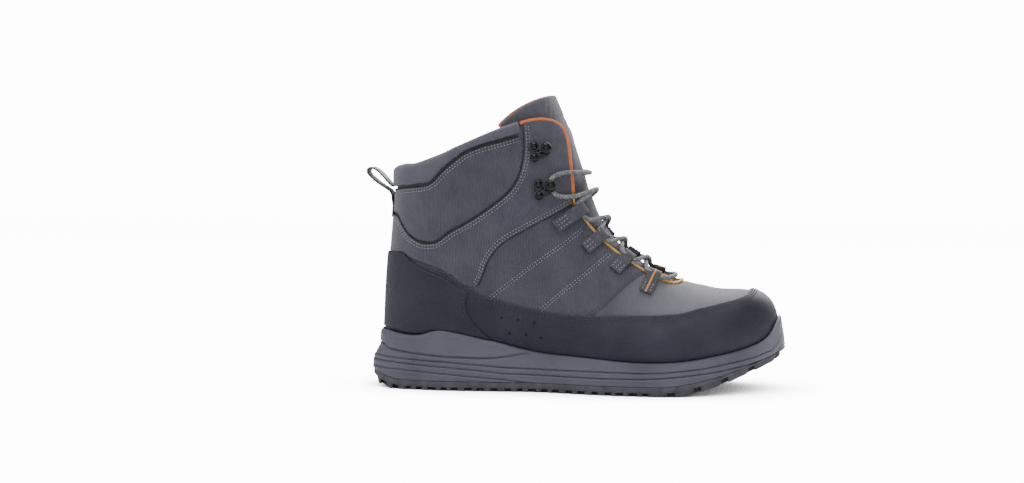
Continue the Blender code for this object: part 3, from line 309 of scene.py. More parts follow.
# A hook's rivets, ahead and across, and its crook in side view, in millimetres.
RIVETS = [(-0.8, -4.4), (0.9, 4.2)]
CROOK = [(1.0, 1.3), (4.0, 1.4), (7.2, 1.7), (9.6, 2.6), (10.6, 4.2), (10.2, 5.6), (9.0, 6.2)]
CROOK_STEPS = 40
# Half of a webbing's section, in half widths and half thicknesses.
STRAP_HALF = [(-1, -0.2), (-0.96, -0.75), (-0.86, -1), (-0.45, -1), (-0.15, -1), (0.15, -1),
              (0.45, -1), (0.86, -1), (0.96, -0.75), (1, -0.2)]
# A webbing loop in side view, out and folded back: share of its length, then its height in
# layers of webbing and in shares of the eye.
LOOP_OUTLINE = [(-0.04, 0.5, 0), (0.25, 0.5, 0), (0.50, 0.5, 0), (0.75, 0.5, 0), (0.92, 0.5, 0),
                (1.05, 0.5, 0.10), (1.13, 1, 0.42), (1.09, 1.3, 0.78), (0.93, 1.45, 0.92),
                (0.74, 1.45, 0.50), (0.52, 1.5, 0.10), (0.25, 1.5, 0), (-0.06, 1.5, 0)]
# Rings of the outsole, from its top edge out round the rim, in to a rib set back behind the
# lugs, and up to the roof over the tread: millimetres outward from the rim, then the share of
# the way up from the skirt to the top. A minus is millimetres over the ground, and None is
# the roof. The first six rings of faces show; the others lie in the hollows, in darker rubber
# as painted shade.
OUTSOLE_RIM = [(-2.2, 1.0), (-0.35, 1.0), (0.25, 0.92), (0.35, 0.70), (0.30, 0.25), (0.1, 0.05),
               (-0.5, 0.0), (-3.4, 0.0), (-3.6, -0.5), (-5.4, -0.5), (-7.0, None)]
SHOWN_RINGS = 6
# Lugs across the sole as shares of its width, and where and how widely the side ones split.
SIDE_LUGS = ((0.004, 0.30), (0.70, 0.996))
MIDDLE_LUGS = ((0.35, 0.485), (0.515, 0.65))
LUG_SPLITS = [(0.44, 2.1), (0.56, 1.6), (0.50, 2.5), (0.40, 1.9)]
WHOLE_LUGS = 5
# The cup's lip and the swell of its side: share of its height, share of the sole's margin.
CUP_LIP = [(1.015, 0.05), (1.03, 0.14), (1.03, 0.24), (1.01, 0.34), (0.985, 0.41)]
CUP_SWELL = [(0, 0.90), (0.005, 0.965), (0.03, 0.995), (0.21, 0.97), (0.42, 0.87), (0.64, 0.70),
             (0.95, 0.48)]
# The sole's margin along the shoe: share of the last's length, share of the margin.
MARGIN_SHARES = [(0, 1.55), (0.15, 1), (0.45, 0.85), (0.70, 1), (0.9, 0.9), (1, 0.95)]


class Spline:
    """Natural cubic through equally spaced rows of a table."""

    def __init__(self, table):
        self.table = np.asarray(table, float)
        self.count = len(self.table)
        system = np.eye(self.count)
        right = np.zeros_like(self.table)
        for i in range(1, self.count - 1):
            system[i, i - 1:i + 2] = 1, 4, 1
            right[i] = 6 * (self.table[i + 1] - 2 * self.table[i] + self.table[i - 1])
        self.moments = np.linalg.solve(system, right)

    def __call__(self, at):
        at = np.asarray(at, float)
        i = np.clip(at.astype(int), 0, self.count - 2)
        f = (at - i)[..., None]
        g = 1 - f
        return (self.table[i] * g + self.table[i + 1] * f
                + (g ** 3 - g) * self.moments[i] / 6 + (f ** 3 - f) * self.moments[i + 1] / 6)


def smoothstep(low, high, value):
    """0 below low, 1 above high, smooth between."""
    f = np.clip((np.asarray(value, float) - low) / (high - low), 0, 1)
    return f * f * (3 - 2 * f)


def seat(share):
    """Height of the last's bottom line at a share of its length: heel seat, ball, toe spring."""
    heel = 1 - smoothstep(0.25, 0.62, share)
    spring = np.clip((np.asarray(share, float) - 0.70) / 0.30, 0, None) ** 2.2
    return BALL_STACK + (HEEL_STACK - BALL_STACK) * heel + TOE_SPRING * spring


def section_table():
    """The three tables at their real sizes: back x, z, front x, z, centre, six half widths."""
    table = []
    for back_x, back_z, front_x, front_z, centre, *widths in SHAFT_SECTIONS:
        table.append([HEEL_START + back_x * LAST_LENGTH, HEEL_STACK + back_z * SHAFT_HEIGHT,
                      HEEL_START + front_x * LAST_LENGTH, HEEL_STACK + front_z * SHAFT_HEIGHT,
                      centre * BALL_WIDTH] + [width * ANKLE_WIDTH for width in widths])
    for sections, height in ((FOOT_SECTIONS, INSTEP_HEIGHT), (TOE_SECTIONS, TOE_HEIGHT)):
        for bottom_x, front_x, front_z, centre, *widths in sections:
            table.append([HEEL_START + bottom_x * LAST_LENGTH, float(seat(bottom_x)),
                          HEEL_START + front_x * LAST_LENGTH, BALL_STACK + front_z * height,
                          centre * BALL_WIDTH] + [width * BALL_WIDTH for width in widths])
    table[-1][1] = table[-1][3]
    return table


LAST = Spline(section_table())


def angle(rise):
    """The angle round a section that stands for a rise from 0 to 1."""
    return np.arccos(1 - 2 * np.asarray(rise, float))


def on_last(row, turn):
    """Point of the last at a row and an angle: outer side for positive angles under pi."""
    row, turn = np.broadcast_arrays(np.asarray(row, float), np.asarray(turn, float))
    line = LAST(row)
    rise = (1 - np.cos(turn)) / 2
    side = np.sin(turn)
    first = np.where(side >= 0, 5, 8)[..., None]
    low, mid, high = (np.take_along_axis(line, first + i, -1)[..., 0] for i in range(3))
    end_share = 2 * np.sqrt(LOW * (1 - LOW))
    width = (low / end_share * (rise - MID) * (rise - HIGH) / ((LOW - MID) * (LOW - HIGH))
             + mid * (rise - LOW) * (rise - HIGH) / ((MID - LOW) * (MID - HIGH))
             + high / end_share * (rise - LOW) * (rise - MID) / ((HIGH - LOW) * (HIGH - MID)))
    return np.stack([line[..., 0] + (line[..., 2] - line[..., 0]) * rise,
                     line[..., 4] - side * width,
                     line[..., 1] + (line[..., 3] - line[..., 1]) * rise], -1)


def tangents(row, turn):
    """Steps along the rows and round them, per unit of each, and the outward normal."""
    step = 0.02
    along = (on_last(row + step, turn) - on_last(row - step, turn)) / (2 * step)
    around = (on_last(row, turn + step) - on_last(row, turn - step)) / (2 * step)
    normal = np.cross(along, around)
    normal /= np.maximum(np.linalg.norm(normal, axis=-1, keepdims=True), 1e-12)
    return along, around, normal


def crease_lines():
    """The creases and the quilt rows as polylines on the last, with depth and half width."""
    lines = []
    share = np.linspace(0, 1, 9)
    depth_scale = bpy.context.scene.boot_looks.crease_depth
    for row, rise, end_row, end_rise, depth, width, side in CREASES:
        turn = angle(rise) + (angle(end_rise) - angle(rise)) * share
        for sign in (1, -1):
            if side in (0, sign):
                path = on_last(row + (end_row - row) * share, turn * sign)
                lines.append((path, depth * depth_scale * MM, width * MM, True))
    for places in (FRONT_QUILT, REAR_QUILT):
        path = seam(places, np.linspace(0, len(places) - 1, 14))
        for sign in (1, -1):
            lines.append((on_last(path[:, 0], path[:, 1] * sign), QUILT_DEPTH, QUILT_WIDTH, False))
    return lines


def relief(points):
    """Height that the soft creases add to the surface at points of the last."""
    flat = points.reshape(-1, 3)
    total = np.zeros(len(flat))
    for path, depth, width, fades in crease_lines():
        near = np.full(len(flat), np.inf)
        where = np.zeros(len(flat))
        for k in range(len(path) - 1):
            run = path[k + 1] - path[k]
            share = np.clip((flat - path[k]) @ run / (run @ run), 0, 1)
            gap = np.linalg.norm(flat - path[k] - share[:, None] * run, axis=1)
            closer = gap < near
            near = np.where(closer, gap, near)
            where = np.where(closer, (k + share) / (len(path) - 1), where)
        fade = np.sin(pi * np.clip(where, 0.02, 0.98)) ** 0.7 if fades else 1
        total -= depth * fade * np.exp(-(near / width) ** 2)
    return total.reshape(points.shape[:-1])


def surface(row, turn, height, creased=1.0):
    """Point at a height over the creased surface."""
    point = on_last(row, turn)
    normal = tangents(row, turn)[2]
    lift = np.asarray(height, float) + creased * relief(point)
    return point + normal * np.broadcast_to(lift, point.shape[:-1])[..., None]


def seam(points, at):
    """Smooth path of (row, turn) through (row, rise) points, mirrored at centre lines, at
    given steps along them: 0 for the first point, 1 for the second."""
    path = np.array([(row, float(angle(rise))) for row, rise in points])
    ends = []
    for end, neighbour in ((path[0], path[1]), (path[-1], path[-2])):
        centred = end[1] < 1e-6 or end[1] > pi - 1e-6
        ends.append([neighbour[0] if centred else 2 * end[0] - neighbour[0],
                     2 * end[1] - neighbour[1]])
    path = np.vstack([ends[0], path, ends[1]])
    i = np.clip(at.astype(int), 0, len(points) - 2)
    f = (at - i)[:, None]
    a, b, c, d = (path[i + k] for k in range(4))
    return b + f * (c - a + f * (2 * a - 5 * b + 4 * c - d + f * (3 * (b - c) + d - a))) / 2


def lengths(points, axis=0):
    """Distance along rows of points from the first."""
    steps = np.linalg.norm(np.diff(points, axis=axis), axis=-1)
    start = np.zeros_like(np.take(steps, [0], axis=axis))
    return np.concatenate([start, np.cumsum(steps, axis=axis)], axis=axis)


def resampled(line, far, count):
    """The line's columns at even distances, given the distance at each of its points."""
    at = np.linspace(0, far[-1], count)
    return np.stack([np.interp(at, far, column) for column in line.T], -1)


def evenly(path, spacing):
    """A (row, turn) path resampled at even spacing on the surface."""
    far = lengths(on_last(*path.T))
    return resampled(path, far, max(int(round(far[-1] / spacing)), 2) + 1)


def unit(vectors):
    """Rows of vectors at length 1."""
    return vectors / np.linalg.norm(vectors, axis=1, keepdims=True)


def headings(line):
    """Direction of a line at each of its points."""
    return unit(np.gradient(line, axis=0))


def turns(count):
    """Even angles round a circle."""
    return np.linspace(0, 2 * pi, count, endpoint=False)


def seam_path(points, spacing=SAMPLE):
    """Even (row, turn) path through (row, rise) points."""
    return evenly(seam(points, np.linspace(0, len(points) - 1, 12 * len(points))), spacing)


def beside(path, offset):
    """The path moved sideways on the surface: to the left of its run, seen from outside."""
    along, around, normal = tangents(*path.T)
    run = np.gradient(on_last(*path.T), axis=0)
    aside = np.cross(normal, run)
    aside *= (np.zeros(len(path)) + offset)[:, None] / np.linalg.norm(aside, axis=1, keepdims=True)
    moved = path.copy()
    for k in range(len(path)):
        step = np.linalg.lstsq(np.stack([along[k], around[k]], 1), aside[k], rcond=None)[0]
        moved[k] += step
    return moved


def seam_pair(seams, at):
    """The lower and the upper seam of a table of seams."""
    return seam([line[:2] for line in seams], at), seam([line[2:] for line in seams], at)


def column_steps(seams, spacing, edge):
    """Steps along a table of seams for its columns, closer at a free end."""
    fine = np.linspace(0, len(seams) - 1, 16 * len(seams))
    lower, upper = seam_pair(seams, fine)
    stride = np.zeros(len(fine) - 1)
    for share in (0, 0.5, 1):
        place = lower + (upper - lower) * share
        stride = np.maximum(stride, np.diff(lengths(on_last(*place.T))))
    far = np.append(0, np.cumsum(stride))
    at = np.linspace(0, far[-1], int(np.ceil(far[-1] / spacing)) + 1)
    if edge:
        close = far[-1] - edge * np.array([1, 0.72, 0.38, 0.12, 0])
        at = np.append(at[at < close[0] - spacing / 3], close)
    return np.interp(at, far, fine)


def all_round(path):
    """The path along one side and back along the other."""
    return np.vstack([path, (path * FLIP)[-2:0:-1]])


def column_places(seams, side, spacing, edge=0):
    """Lower and upper places of each column: one side, round the back, or all round."""
    lower, upper = seam_pair(seams, column_steps(seams, spacing, edge))
    if side == "outer":
        return lower, upper
    if side == "inner":
        return lower * FLIP, upper * FLIP
    if side == "back":
        return [np.vstack([path[::-1], path[1:] * FLIP]) for path in (lower, upper)]
    return all_round(lower), all_round(upper)


def texture_place(row, turn, lie):
    """Texture coordinates in metres: ribs stand upright on the shaft and on the foot."""
    fine = np.linspace(0, pi, 200)
    belt = lengths(on_last(BELT_ROWS[lie], fine))
    around = np.interp(np.abs(turn), fine, belt)
    point = on_last(row, turn)
    if lie == "shaft":
        return np.stack([np.sign(turn) * around, point[..., 2]], -1)
    return np.stack([point[..., 0], around], -1)


def ring_faces(rings, columns, closed_rings, closed_columns, start=0):
    """Quads between rings of points: ring r, column c is point start + r * columns + c."""
    faces = []
    for r in range(rings if closed_rings else rings - 1):
        s = (r + 1) % rings
        for c in range(columns if closed_columns else columns - 1):
            n = (c + 1) % columns
            faces.append((start + r * columns + c, start + r * columns + n,
                          start + s * columns + n, start + s * columns + c))
    return faces


def tube_faces(rings, sides, start=0):
    """Quads round a tube of rings, and a face over each of its ends."""
    last = start + (rings - 1) * sides
    return (ring_faces(rings, sides, False, True, start)
            + [tuple(start + k for k in range(sides)), tuple(last + k for k in range(sides))])


def ladder(start, columns):
    """Quads that fill a ring across, from each outer column to the inner column facing it."""
    half = columns // 2
    faces = [(start, start + 1, start + columns - 1)]
    for c in range(1, half - 1):
        faces.append((start + c, start + c + 1, start + columns - c - 1, start + columns - c))
    faces.append((start + half - 1, start + half, start + half + 1))
    return faces


def bowl_faces(rings, columns):
    """Quads between rings all round the shoe, and the first and last ring filled across."""
    return (ring_faces(rings, columns, False, True) + ladder(0, columns)
            + ladder((rings - 1) * columns, columns))


def sheet_faces(rings, columns, closed):
    """Faces of a panel from its outer and then its inner grid of points, and their marks:
    1 on the inner face, 0 outside and on the rim."""
    size = rings * columns
    outer = ring_faces(rings, columns, False, closed)
    inner = [tuple(size + i for i in face) for face in outer]
    rim = []
    for r in (0, rings - 1):
        for c in range(columns if closed else columns - 1):
            a, b = r * columns + c, r * columns + (c + 1) % columns
            rim.append((a, b, size + b, size + a))
    if not closed:
        for c in (0, columns - 1):
            for r in range(rings - 1):
                a, b = r * columns + c, (r + 1) * columns + c
                rim.append((a, b, size + b, size + a))
    return outer + inner + rim, [0] * len(outer) + [1] * len(inner) + [0] * len(rim)


def add_mesh(name, points, faces, finishes, places=None, marks=None, sharp=40):
    """A mesh object: doubles merged, normals outward, smooth but for its sharp edges."""
    mesh = bpy.data.meshes.new(name)
    mesh.from_pydata(np.asarray(points, float).tolist(), [], faces)
    if places is not None:
        layer = mesh.uv_layers.new(name="surface")
        corners = np.empty(len(mesh.loops), np.int32)
        mesh.loops.foreach_get("vertex_index", corners)
        layer.data.foreach_set("uv", np.asarray(places, np.float32)[corners].ravel())
    for finish in finishes:
        mesh.materials.append(finish)
    if len(finishes) > 1:
        mesh.polygons.foreach_set("material_index", np.asarray(marks, np.int32))
    shape = bmesh.new()
    shape.from_mesh(mesh)
    bmesh.ops.remove_doubles(shape, verts=shape.verts, dist=0.003 * MM)
    bmesh.ops.recalc_face_normals(shape, faces=shape.faces)
    shape.to_mesh(mesh)
    shape.free()
    mesh.shade_smooth()
    mesh.set_sharp_from_angle(angle=radians(sharp))
    thing = bpy.data.objects.new(name, mesh)
    bpy.context.scene.collection.objects.link(thing)
    return thing


def add_tube(name, grid, girth, far, finishes, marks=None):
    """A tube of rings with closed ends, its texture laid out by girth and by distance."""
    count, sides = grid.shape[:2]
    picture = np.stack(np.broadcast_arrays(girth[None, :], far[:, None]), -1).reshape(-1, 2)
    return add_mesh(name, grid.reshape(-1, 3), tube_faces(count, sides), finishes, picture, marks)


def add_sheet(name, outside, inside, closed, picture, finishes, sharp=40):
    """A closed panel between its outer and its inner grid, with one texture for both."""
    faces, marks = sheet_faces(*outside.shape[:2], closed)
    return add_mesh(name, np.vstack([outside.reshape(-1, 3), inside.reshape(-1, 3)]), faces,
                    finishes, np.vstack([picture, picture]), marks, sharp)


def rolled_shares(length, rows, edge):
    """Shares down columns of given lengths: close at both borders, even between them."""
    near = np.array([0, 0.12, 0.38, 0.72])[:, None] * edge
    scale = np.minimum(1, 0.3 * length / edge)
    near = near * scale
    inside = edge * scale + (length - 2 * edge * scale) * np.linspace(0, 1, rows)[:, None]
    down = np.vstack([near, inside, length - near[::-1]])
    return down / np.maximum(length, 1e-7)


def slab(name, seams, side, base, thickness, finishes, lie="foot", edge=None):
    """A closed panel of real thickness between two seams, its outer borders rolled."""
    spacing = bpy.context.scene.boot_looks.mesh_spacing
    edge = edge or 1.1 * thickness
    closed = side == "round"
    lower, upper = column_places(seams, side, spacing, 0 if closed else edge)
    steps = np.linspace(0, 1, 9)[:, None, None]
    length = lengths(on_last(*np.moveaxis(lower + (upper - lower) * steps, -1, 0)))[-1]
    rows = max(int(np.ceil(length.max() / spacing)), 3)
    share = rolled_shares(length, rows, edge)
    places = lower + (upper - lower) * share[..., None]
    row, turn = places[..., 0], places[..., 1]
    border = np.minimum(share, 1 - share) * length
    if not closed:
        run = lengths(on_last(row, turn), axis=1)
        border = np.minimum(border, np.minimum(run, run[:, -1:] - run))
    roll = np.sqrt(1 - (1 - np.clip(border / edge, 0, 1)) ** 2)
    outside = surface(row, turn, base + thickness * (0.25 + 0.75 * roll))
    inside = surface(row, turn, base)
    picture = texture_place(row, turn, lie).reshape(-1, 2)
    return add_sheet(name, outside, inside, closed, picture, finishes)


def strip(name, path, outline, finish, widths=1.0):
    """A strip along a path on the surface, its section given as (sideways, height) points."""
    grid = np.stack([surface(*beside(path, aside * widths).T, height)
                     for aside, height in outline], 1)
    return add_tube(name, grid, lengths(np.asarray(outline)), lengths(grid[:, 0]), [finish])


def round_section(width, height, base):
    """A flat round section that stands on a base: (sideways, height) points."""
    return [(width / 2 * cos(a) * abs(cos(a)) ** -0.3 if abs(cos(a)) > 0.01 else 0.0,
             base + height / 2 + height / 2 * sin(a)) for a in turns(12)]


def strap(name, centre, across, width, thickness, finishes, stripe=()):
    """Webbing along a 3-D centre line: flat faces, rounded selvedges, closed at both ends.
    The sides of its section named in stripe get the second finish."""
    along = headings(centre)
    across = across / np.linalg.norm(across)
    flat = unit(across - along * (along @ across)[:, None])
    lift = np.cross(along, flat)
    outline = STRAP_HALF + [(-a, -b) for a, b in STRAP_HALF]
    grid = np.stack([centre + flat * a * width / 2 + lift * b * thickness / 2
                     for a, b in outline], 1)
    count, sides = grid.shape[:2]
    marks = [int(k % sides in stripe) for k in range((count - 1) * sides)] + [0, 0]
    aside = np.array([a * width / 2 for a, _ in outline])
    return add_tube(name, grid, aside, lengths(centre), finishes, marks)


def round_cord(name, centre, radius, finish, sides=14):
    """A closed round cord along a 3-D centre line."""
    along = headings(centre)
    side = np.cross(along[0], (0.1, 0.2, 1))
    turn = turns(sides)[:, None]
    grid = []
    for point, ahead in zip(centre, along):
        side = side - ahead * (side @ ahead)
        side /= np.linalg.norm(side)
        up = np.cross(ahead, side)
        grid.append(point + radius * (side * np.cos(turn) + up * np.sin(turn)))
    girth = 2 * pi * radius * np.abs(np.linspace(-1, 1, sides, endpoint=False))
    return add_tube(name, np.array(grid), girth, lengths(centre), [finish])


class Stitches:
    """Collects rows of thread stitches and makes them one piece."""

    def __init__(self):
        self.points = []
        self.faces = []

    def one(self, middle, ahead, up, length, thick):
        """One stitch: a short bowed capsule that dips into the cloth at both ends."""
        aside = np.cross(up, ahead)
        turn = turns(6)[:, None]
        rings = []
        for far, wide, high in ((-0.5, 0.35, -0.25), (-0.36, 0.9, 0.35), (0, 1, 0.6),
                                (0.36, 0.9, 0.35), (0.5, 0.35, -0.25)):
            centre = middle + ahead * far * length + up * high * thick
            rings.append(centre + wide * thick * (aside * np.cos(turn) + up * np.sin(turn)))
        self.faces += tube_faces(5, 6, 5 * 6 * len(self.points))
        self.points.append(np.vstack(rings))

    def line(self, path, offset, height, length=1.25 * MM, thick=0.31 * MM, both=True):
        """A row of stitches beside a (row, turn) path, on one side or both of the shoe."""
        pitch = bpy.context.scene.boot_looks.stitch_pitch
        row = evenly(beside(path, offset) if offset else path, pitch)
        for side in ((1, -1) if both else (1,)):
            place = row * np.array([1, side])
            points = surface(*place.T, height)
            normals = tangents(*place.T)[2]
            ahead = np.diff(points, axis=0)
            ahead /= np.maximum(np.linalg.norm(ahead, axis=1, keepdims=True), 1e-9)
            for k in range(len(ahead)):
                wobble = sin(12.9898 * (k + 1) + 78.233 * offset / MM + side)
                lean = ahead[k] + 0.35 * wobble * np.cross(normals[k], ahead[k])
                self.one((points[k] + points[k + 1]) / 2, lean / np.linalg.norm(lean), normals[k],
                         length * (0.9 + 0.2 * wobble), thick * (0.95 - 0.2 * wobble))

    def make(self, name, finish):
        """The stitches as one object."""
        return add_mesh(name, np.vstack(self.points), self.faces, [finish], sharp=80)


def linear(hex_colour):
    """Linear colour with alpha from an sRGB hex colour."""
    parts = [int(hex_colour[i:i + 2], 16) / 255 for i in (1, 3, 5)]
    return (*[part / 12.92 if part <= 0.04045 else ((part + 0.055) / 1.055) ** 2.4
              for part in parts], 1)


def add_node(tree, kind, inputs=None, **settings):
    """One shader node with its settings; a socket among the inputs is linked."""
    made = tree.nodes.new(kind)
    for key, value in settings.items():
        setattr(made, key, value)
    for key, value in (inputs or {}).items():
        if isinstance(value, bpy.types.NodeSocket):
            tree.links.new(value, made.inputs[key])
        else:
            made.inputs[key].default_value = value
    return made


def new_finish(name, colour, roughness, specular=0.5, sheen=0.0):
    """A Principled material: its tree, its shader and the coordinates it may use."""
    made = bpy.data.materials.new(name)
    made.use_nodes = True
    tree = made.node_tree
    shader = tree.nodes["Principled BSDF"]
    shader.inputs["Base Color"].default_value = linear(colour)
    shader.inputs["Roughness"].default_value = roughness
    shader.inputs["Specular IOR Level"].default_value = specular
    shader.inputs["Sheen Weight"].default_value = sheen
    return made, tree, shader, add_node(tree, "ShaderNodeTexCoord")


def blotches(tree, place, dark, light, scale):
    """Colour that drifts softly between two tones."""
    ramp = add_node(tree, "ShaderNodeValToRGB", {"Fac": fine_noise(tree, place, scale, 4.0)})
    for tone, position, colour in zip(ramp.color_ramp.elements, (0.35, 0.65), (dark, light)):
        tone.position = position
        tone.color = linear(colour)
    return ramp.outputs["Color"]


def ribs(tree, place, period, direction, distortion):
    """Even ribs along one direction of the texture, their period in metres."""
    return add_node(tree, "ShaderNodeTexWave",
                    {"Vector": place, "Scale": 0.314 / period, "Distortion": distortion,
                     "Detail": 2.0, "Detail Scale": 2.0},
                    bands_direction=direction).outputs["Fac"]


def spread(tree, pattern, low, high):
    """The pattern stretched to run from low to high."""
    return add_node(tree, "ShaderNodeMapRange",
                    {"Value": pattern, "To Min": low, "To Max": high}).outputs["Result"]


def darken(tree, colour, factor, pattern):
    """The colour times a factor where the pattern is low."""
    shade = spread(tree, pattern, factor, 1.0)
    mixed = add_node(tree, "ShaderNodeMix", {"Factor": 1.0}, data_type="RGBA", blend_type="MULTIPLY")
    tree.links.new(colour, mixed.inputs[6])
    tree.links.new(shade, mixed.inputs[7])
    return mixed.outputs[2]


def painted_toe_highlight(tree, coords, colour, start, end, amount):
    """The colour drifts to a pale tone between two places along the shoe, as where it is
    bleached."""
    ahead = add_node(tree, "ShaderNodeSeparateXYZ", {"Vector": coords.outputs["Object"]})
    share = add_node(tree, "ShaderNodeMapRange", {"Value": ahead.outputs["X"], "From Min": start,
                                                  "From Max": end, "To Max": amount})
    mixed = add_node(tree, "ShaderNodeMix", {"Factor": share.outputs["Result"]}, data_type="RGBA")
    tree.links.new(colour, mixed.inputs[6])
    # Pale tone of the painted highlight.
    mixed.inputs[7].default_value = linear("#a3a4ad")
    return mixed.outputs[2]


def dress(tree, shader, colour, layers):
    """Links the colour and chains bumps: each layer is a height pattern and its real depth
    in metres."""
    tree.links.new(colour, shader.inputs["Base Color"])
    normal = None
    for pattern, depth in layers:
        inputs = {"Height": pattern, "Distance": depth, "Strength": 1.0}
        if normal is not None:
            inputs["Normal"] = normal
        normal = add_node(tree, "ShaderNodeBump", inputs).outputs["Normal"]
    tree.links.new(normal, shader.inputs["Normal"])


def fine_noise(tree, place, scale, detail=3.0):
    """Plain noise pattern."""
    return add_node(tree, "ShaderNodeTexNoise",
                    {"Vector": place, "Scale": scale, "Detail": detail}).outputs["Fac"]


def woven_textile(name, dark, light, toe_highlight=0.0):
    """Woven nylon: upright ribs with short floats across them, dull, with a faint drift, and
    paler towards the toe where it is bleached."""
    made, tree, shader, coords = new_finish(name, light, 0.88, 0.2, 0.3)
    place = coords.outputs["UV"]
    warp = ribs(tree, place, 1.15 * MM, "X", 0.5)
    weft = ribs(tree, place, 0.8 * MM, "Y", 1.2)
    slubs = fine_noise(tree, place, 900)
    colour = blotches(tree, place, dark, light, 55)
    for factor, pattern in ((0.62, warp), (0.86, weft), (0.75, slubs)):
        colour = darken(tree, colour, factor, pattern)
    # Painted highlight: paler towards the toe, where light falls on the top of the vamp.
    if toe_highlight:
        colour = painted_toe_highlight(tree, coords, colour, 0.135, 0.200, toe_highlight)
    dress(tree, shader, colour, [(warp, 0.16 * MM), (weft, 0.07 * MM), (slubs, 0.12 * MM)])
    return made


def stretch_knit(name, dark, light):
    """Brushed stretch knit: smooth and soft, fine grain."""
    made, tree, shader, coords = new_finish(name, light, 0.9, 0.2, 0.25)
    place = coords.outputs["UV"]
    grain = fine_noise(tree, place, 1500)
    colour = darken(tree, blotches(tree, place, dark, light, 40), 0.8, grain)
    dress(tree, shader, colour, [(grain, 0.1 * MM)])
    return made


def synthetic_nubuck(name, dark, light):
    """Coated synthetic nubuck: near black, matt with a soft sheen and a pebble grain."""
    made, tree, shader, coords = new_finish(name, light, 0.62, 0.3, 0.04)
    place = coords.outputs["Object"]
    grain = add_node(tree, "ShaderNodeTexVoronoi", {"Vector": place, "Scale": 1100.0})
    drift = fine_noise(tree, place, 60, 5)
    colour = darken(tree, blotches(tree, place, dark, light, 28), 0.88, drift)
    tree.links.new(spread(tree, drift, 0.52, 0.74), shader.inputs["Roughness"])
    dress(tree, shader, colour, [(grain.outputs["Distance"], 0.05 * MM), (drift, 0.25 * MM)])
    return made


def moulded_foam(name, dark, light):
    """Moulded foam skin: smooth satin with a faint moulding texture, paler at the toe."""
    made, tree, shader, coords = new_finish(name, light, 0.55, 0.35)
    shader.inputs["IOR"].default_value = 1.48
    place = coords.outputs["Object"]
    skin = fine_noise(tree, place, 1300)
    drift = fine_noise(tree, place, 35, 5)
    colour = darken(tree, blotches(tree, place, dark, light, 22), 0.9, drift)
    # Painted highlight: the toe bumper paler at the front, where the light falls.
    colour = painted_toe_highlight(tree, coords, colour, 0.235, 0.270, 0.25)
    dress(tree, shader, colour, [(skin, 0.04 * MM), (drift, 0.12 * MM)])
    return made


def sole_rubber(name, dark, light):
    """Dense rubber: dark and dull, its tone drifting in small blotches."""
    made, tree, shader, coords = new_finish(name, light, 0.78)
    place = coords.outputs["Object"]
    skin = fine_noise(tree, place, 700)
    dress(tree, shader, blotches(tree, place, dark, light, 120), [(skin, 0.12 * MM)])
    return made


def webbing_cloth(name, dark, light):
    """Polyester webbing: ribs across its width, with a slight gloss."""
    made, tree, shader, coords = new_finish(name, light, 0.72)
    place = coords.outputs["UV"]
    rib = ribs(tree, place, 1.1 * MM, "Y", 0.6)
    lines = ribs(tree, place, 0.9 * MM, "X", 0.4)
    colour = darken(tree, blotches(tree, place, dark, light, 300), 0.55, rib)
    colour = darken(tree, colour, 0.8, lines)
    dress(tree, shader, colour, [(rib, 0.16 * MM), (lines, 0.08 * MM)])
    return made


def lace_braid(name, dark, light):
    """Braided cord: slanting strands with light flecks."""
    made, tree, shader, coords = new_finish(name, light, 0.75)
    place = coords.outputs["UV"]
    strands = ribs(tree, place, 1.3 * MM, "DIAGONAL", 0.3)
    fleck = add_node(tree, "ShaderNodeTexVoronoi", {"Vector": place, "Scale": 900.0}).outputs["Color"]
    fleck = add_node(tree, "ShaderNodeSeparateColor", {"Color": fleck}).outputs["Red"]
    flecked = add_node(tree, "ShaderNodeValToRGB", {"Fac": fleck})
    flecked.color_ramp.interpolation = "CONSTANT"
    flecked.color_ramp.elements[0].color = linear(dark)
    flecked.color_ramp.elements[1].position = 0.72
    flecked.color_ramp.elements[1].color = linear(light)
    colour = darken(tree, flecked.outputs["Color"], 0.5, strands)
    dress(tree, shader, colour, [(strands, 0.3 * MM)])
    return made


def coated_steel(name, colour, roughness):
    """Black coated steel: a hard dark gloss with soft highlights."""
    made, tree, shader, coords = new_finish(name, colour, roughness, 0.25)
    wear = fine_noise(tree, coords.outputs["Object"], 900)
    rough = spread(tree, wear, roughness - 0.08, roughness + 0.12)
    tree.links.new(rough, shader.inputs["Roughness"])
    return made


def plain_cloth(name, colour, roughness):
    """Plain thread or tape: one colour with a fine grain."""
    made, tree, shader, coords = new_finish(name, colour, roughness)
    noise = fine_noise(tree, coords.outputs["Object"], 1400)
    plain = add_node(tree, "ShaderNodeRGB").outputs["Color"]
    plain.default_value = linear(colour)
    dress(tree, shader, darken(tree, plain, 0.72, noise), [(noise, 0.08 * MM)])
    return made


FINISHES = {}


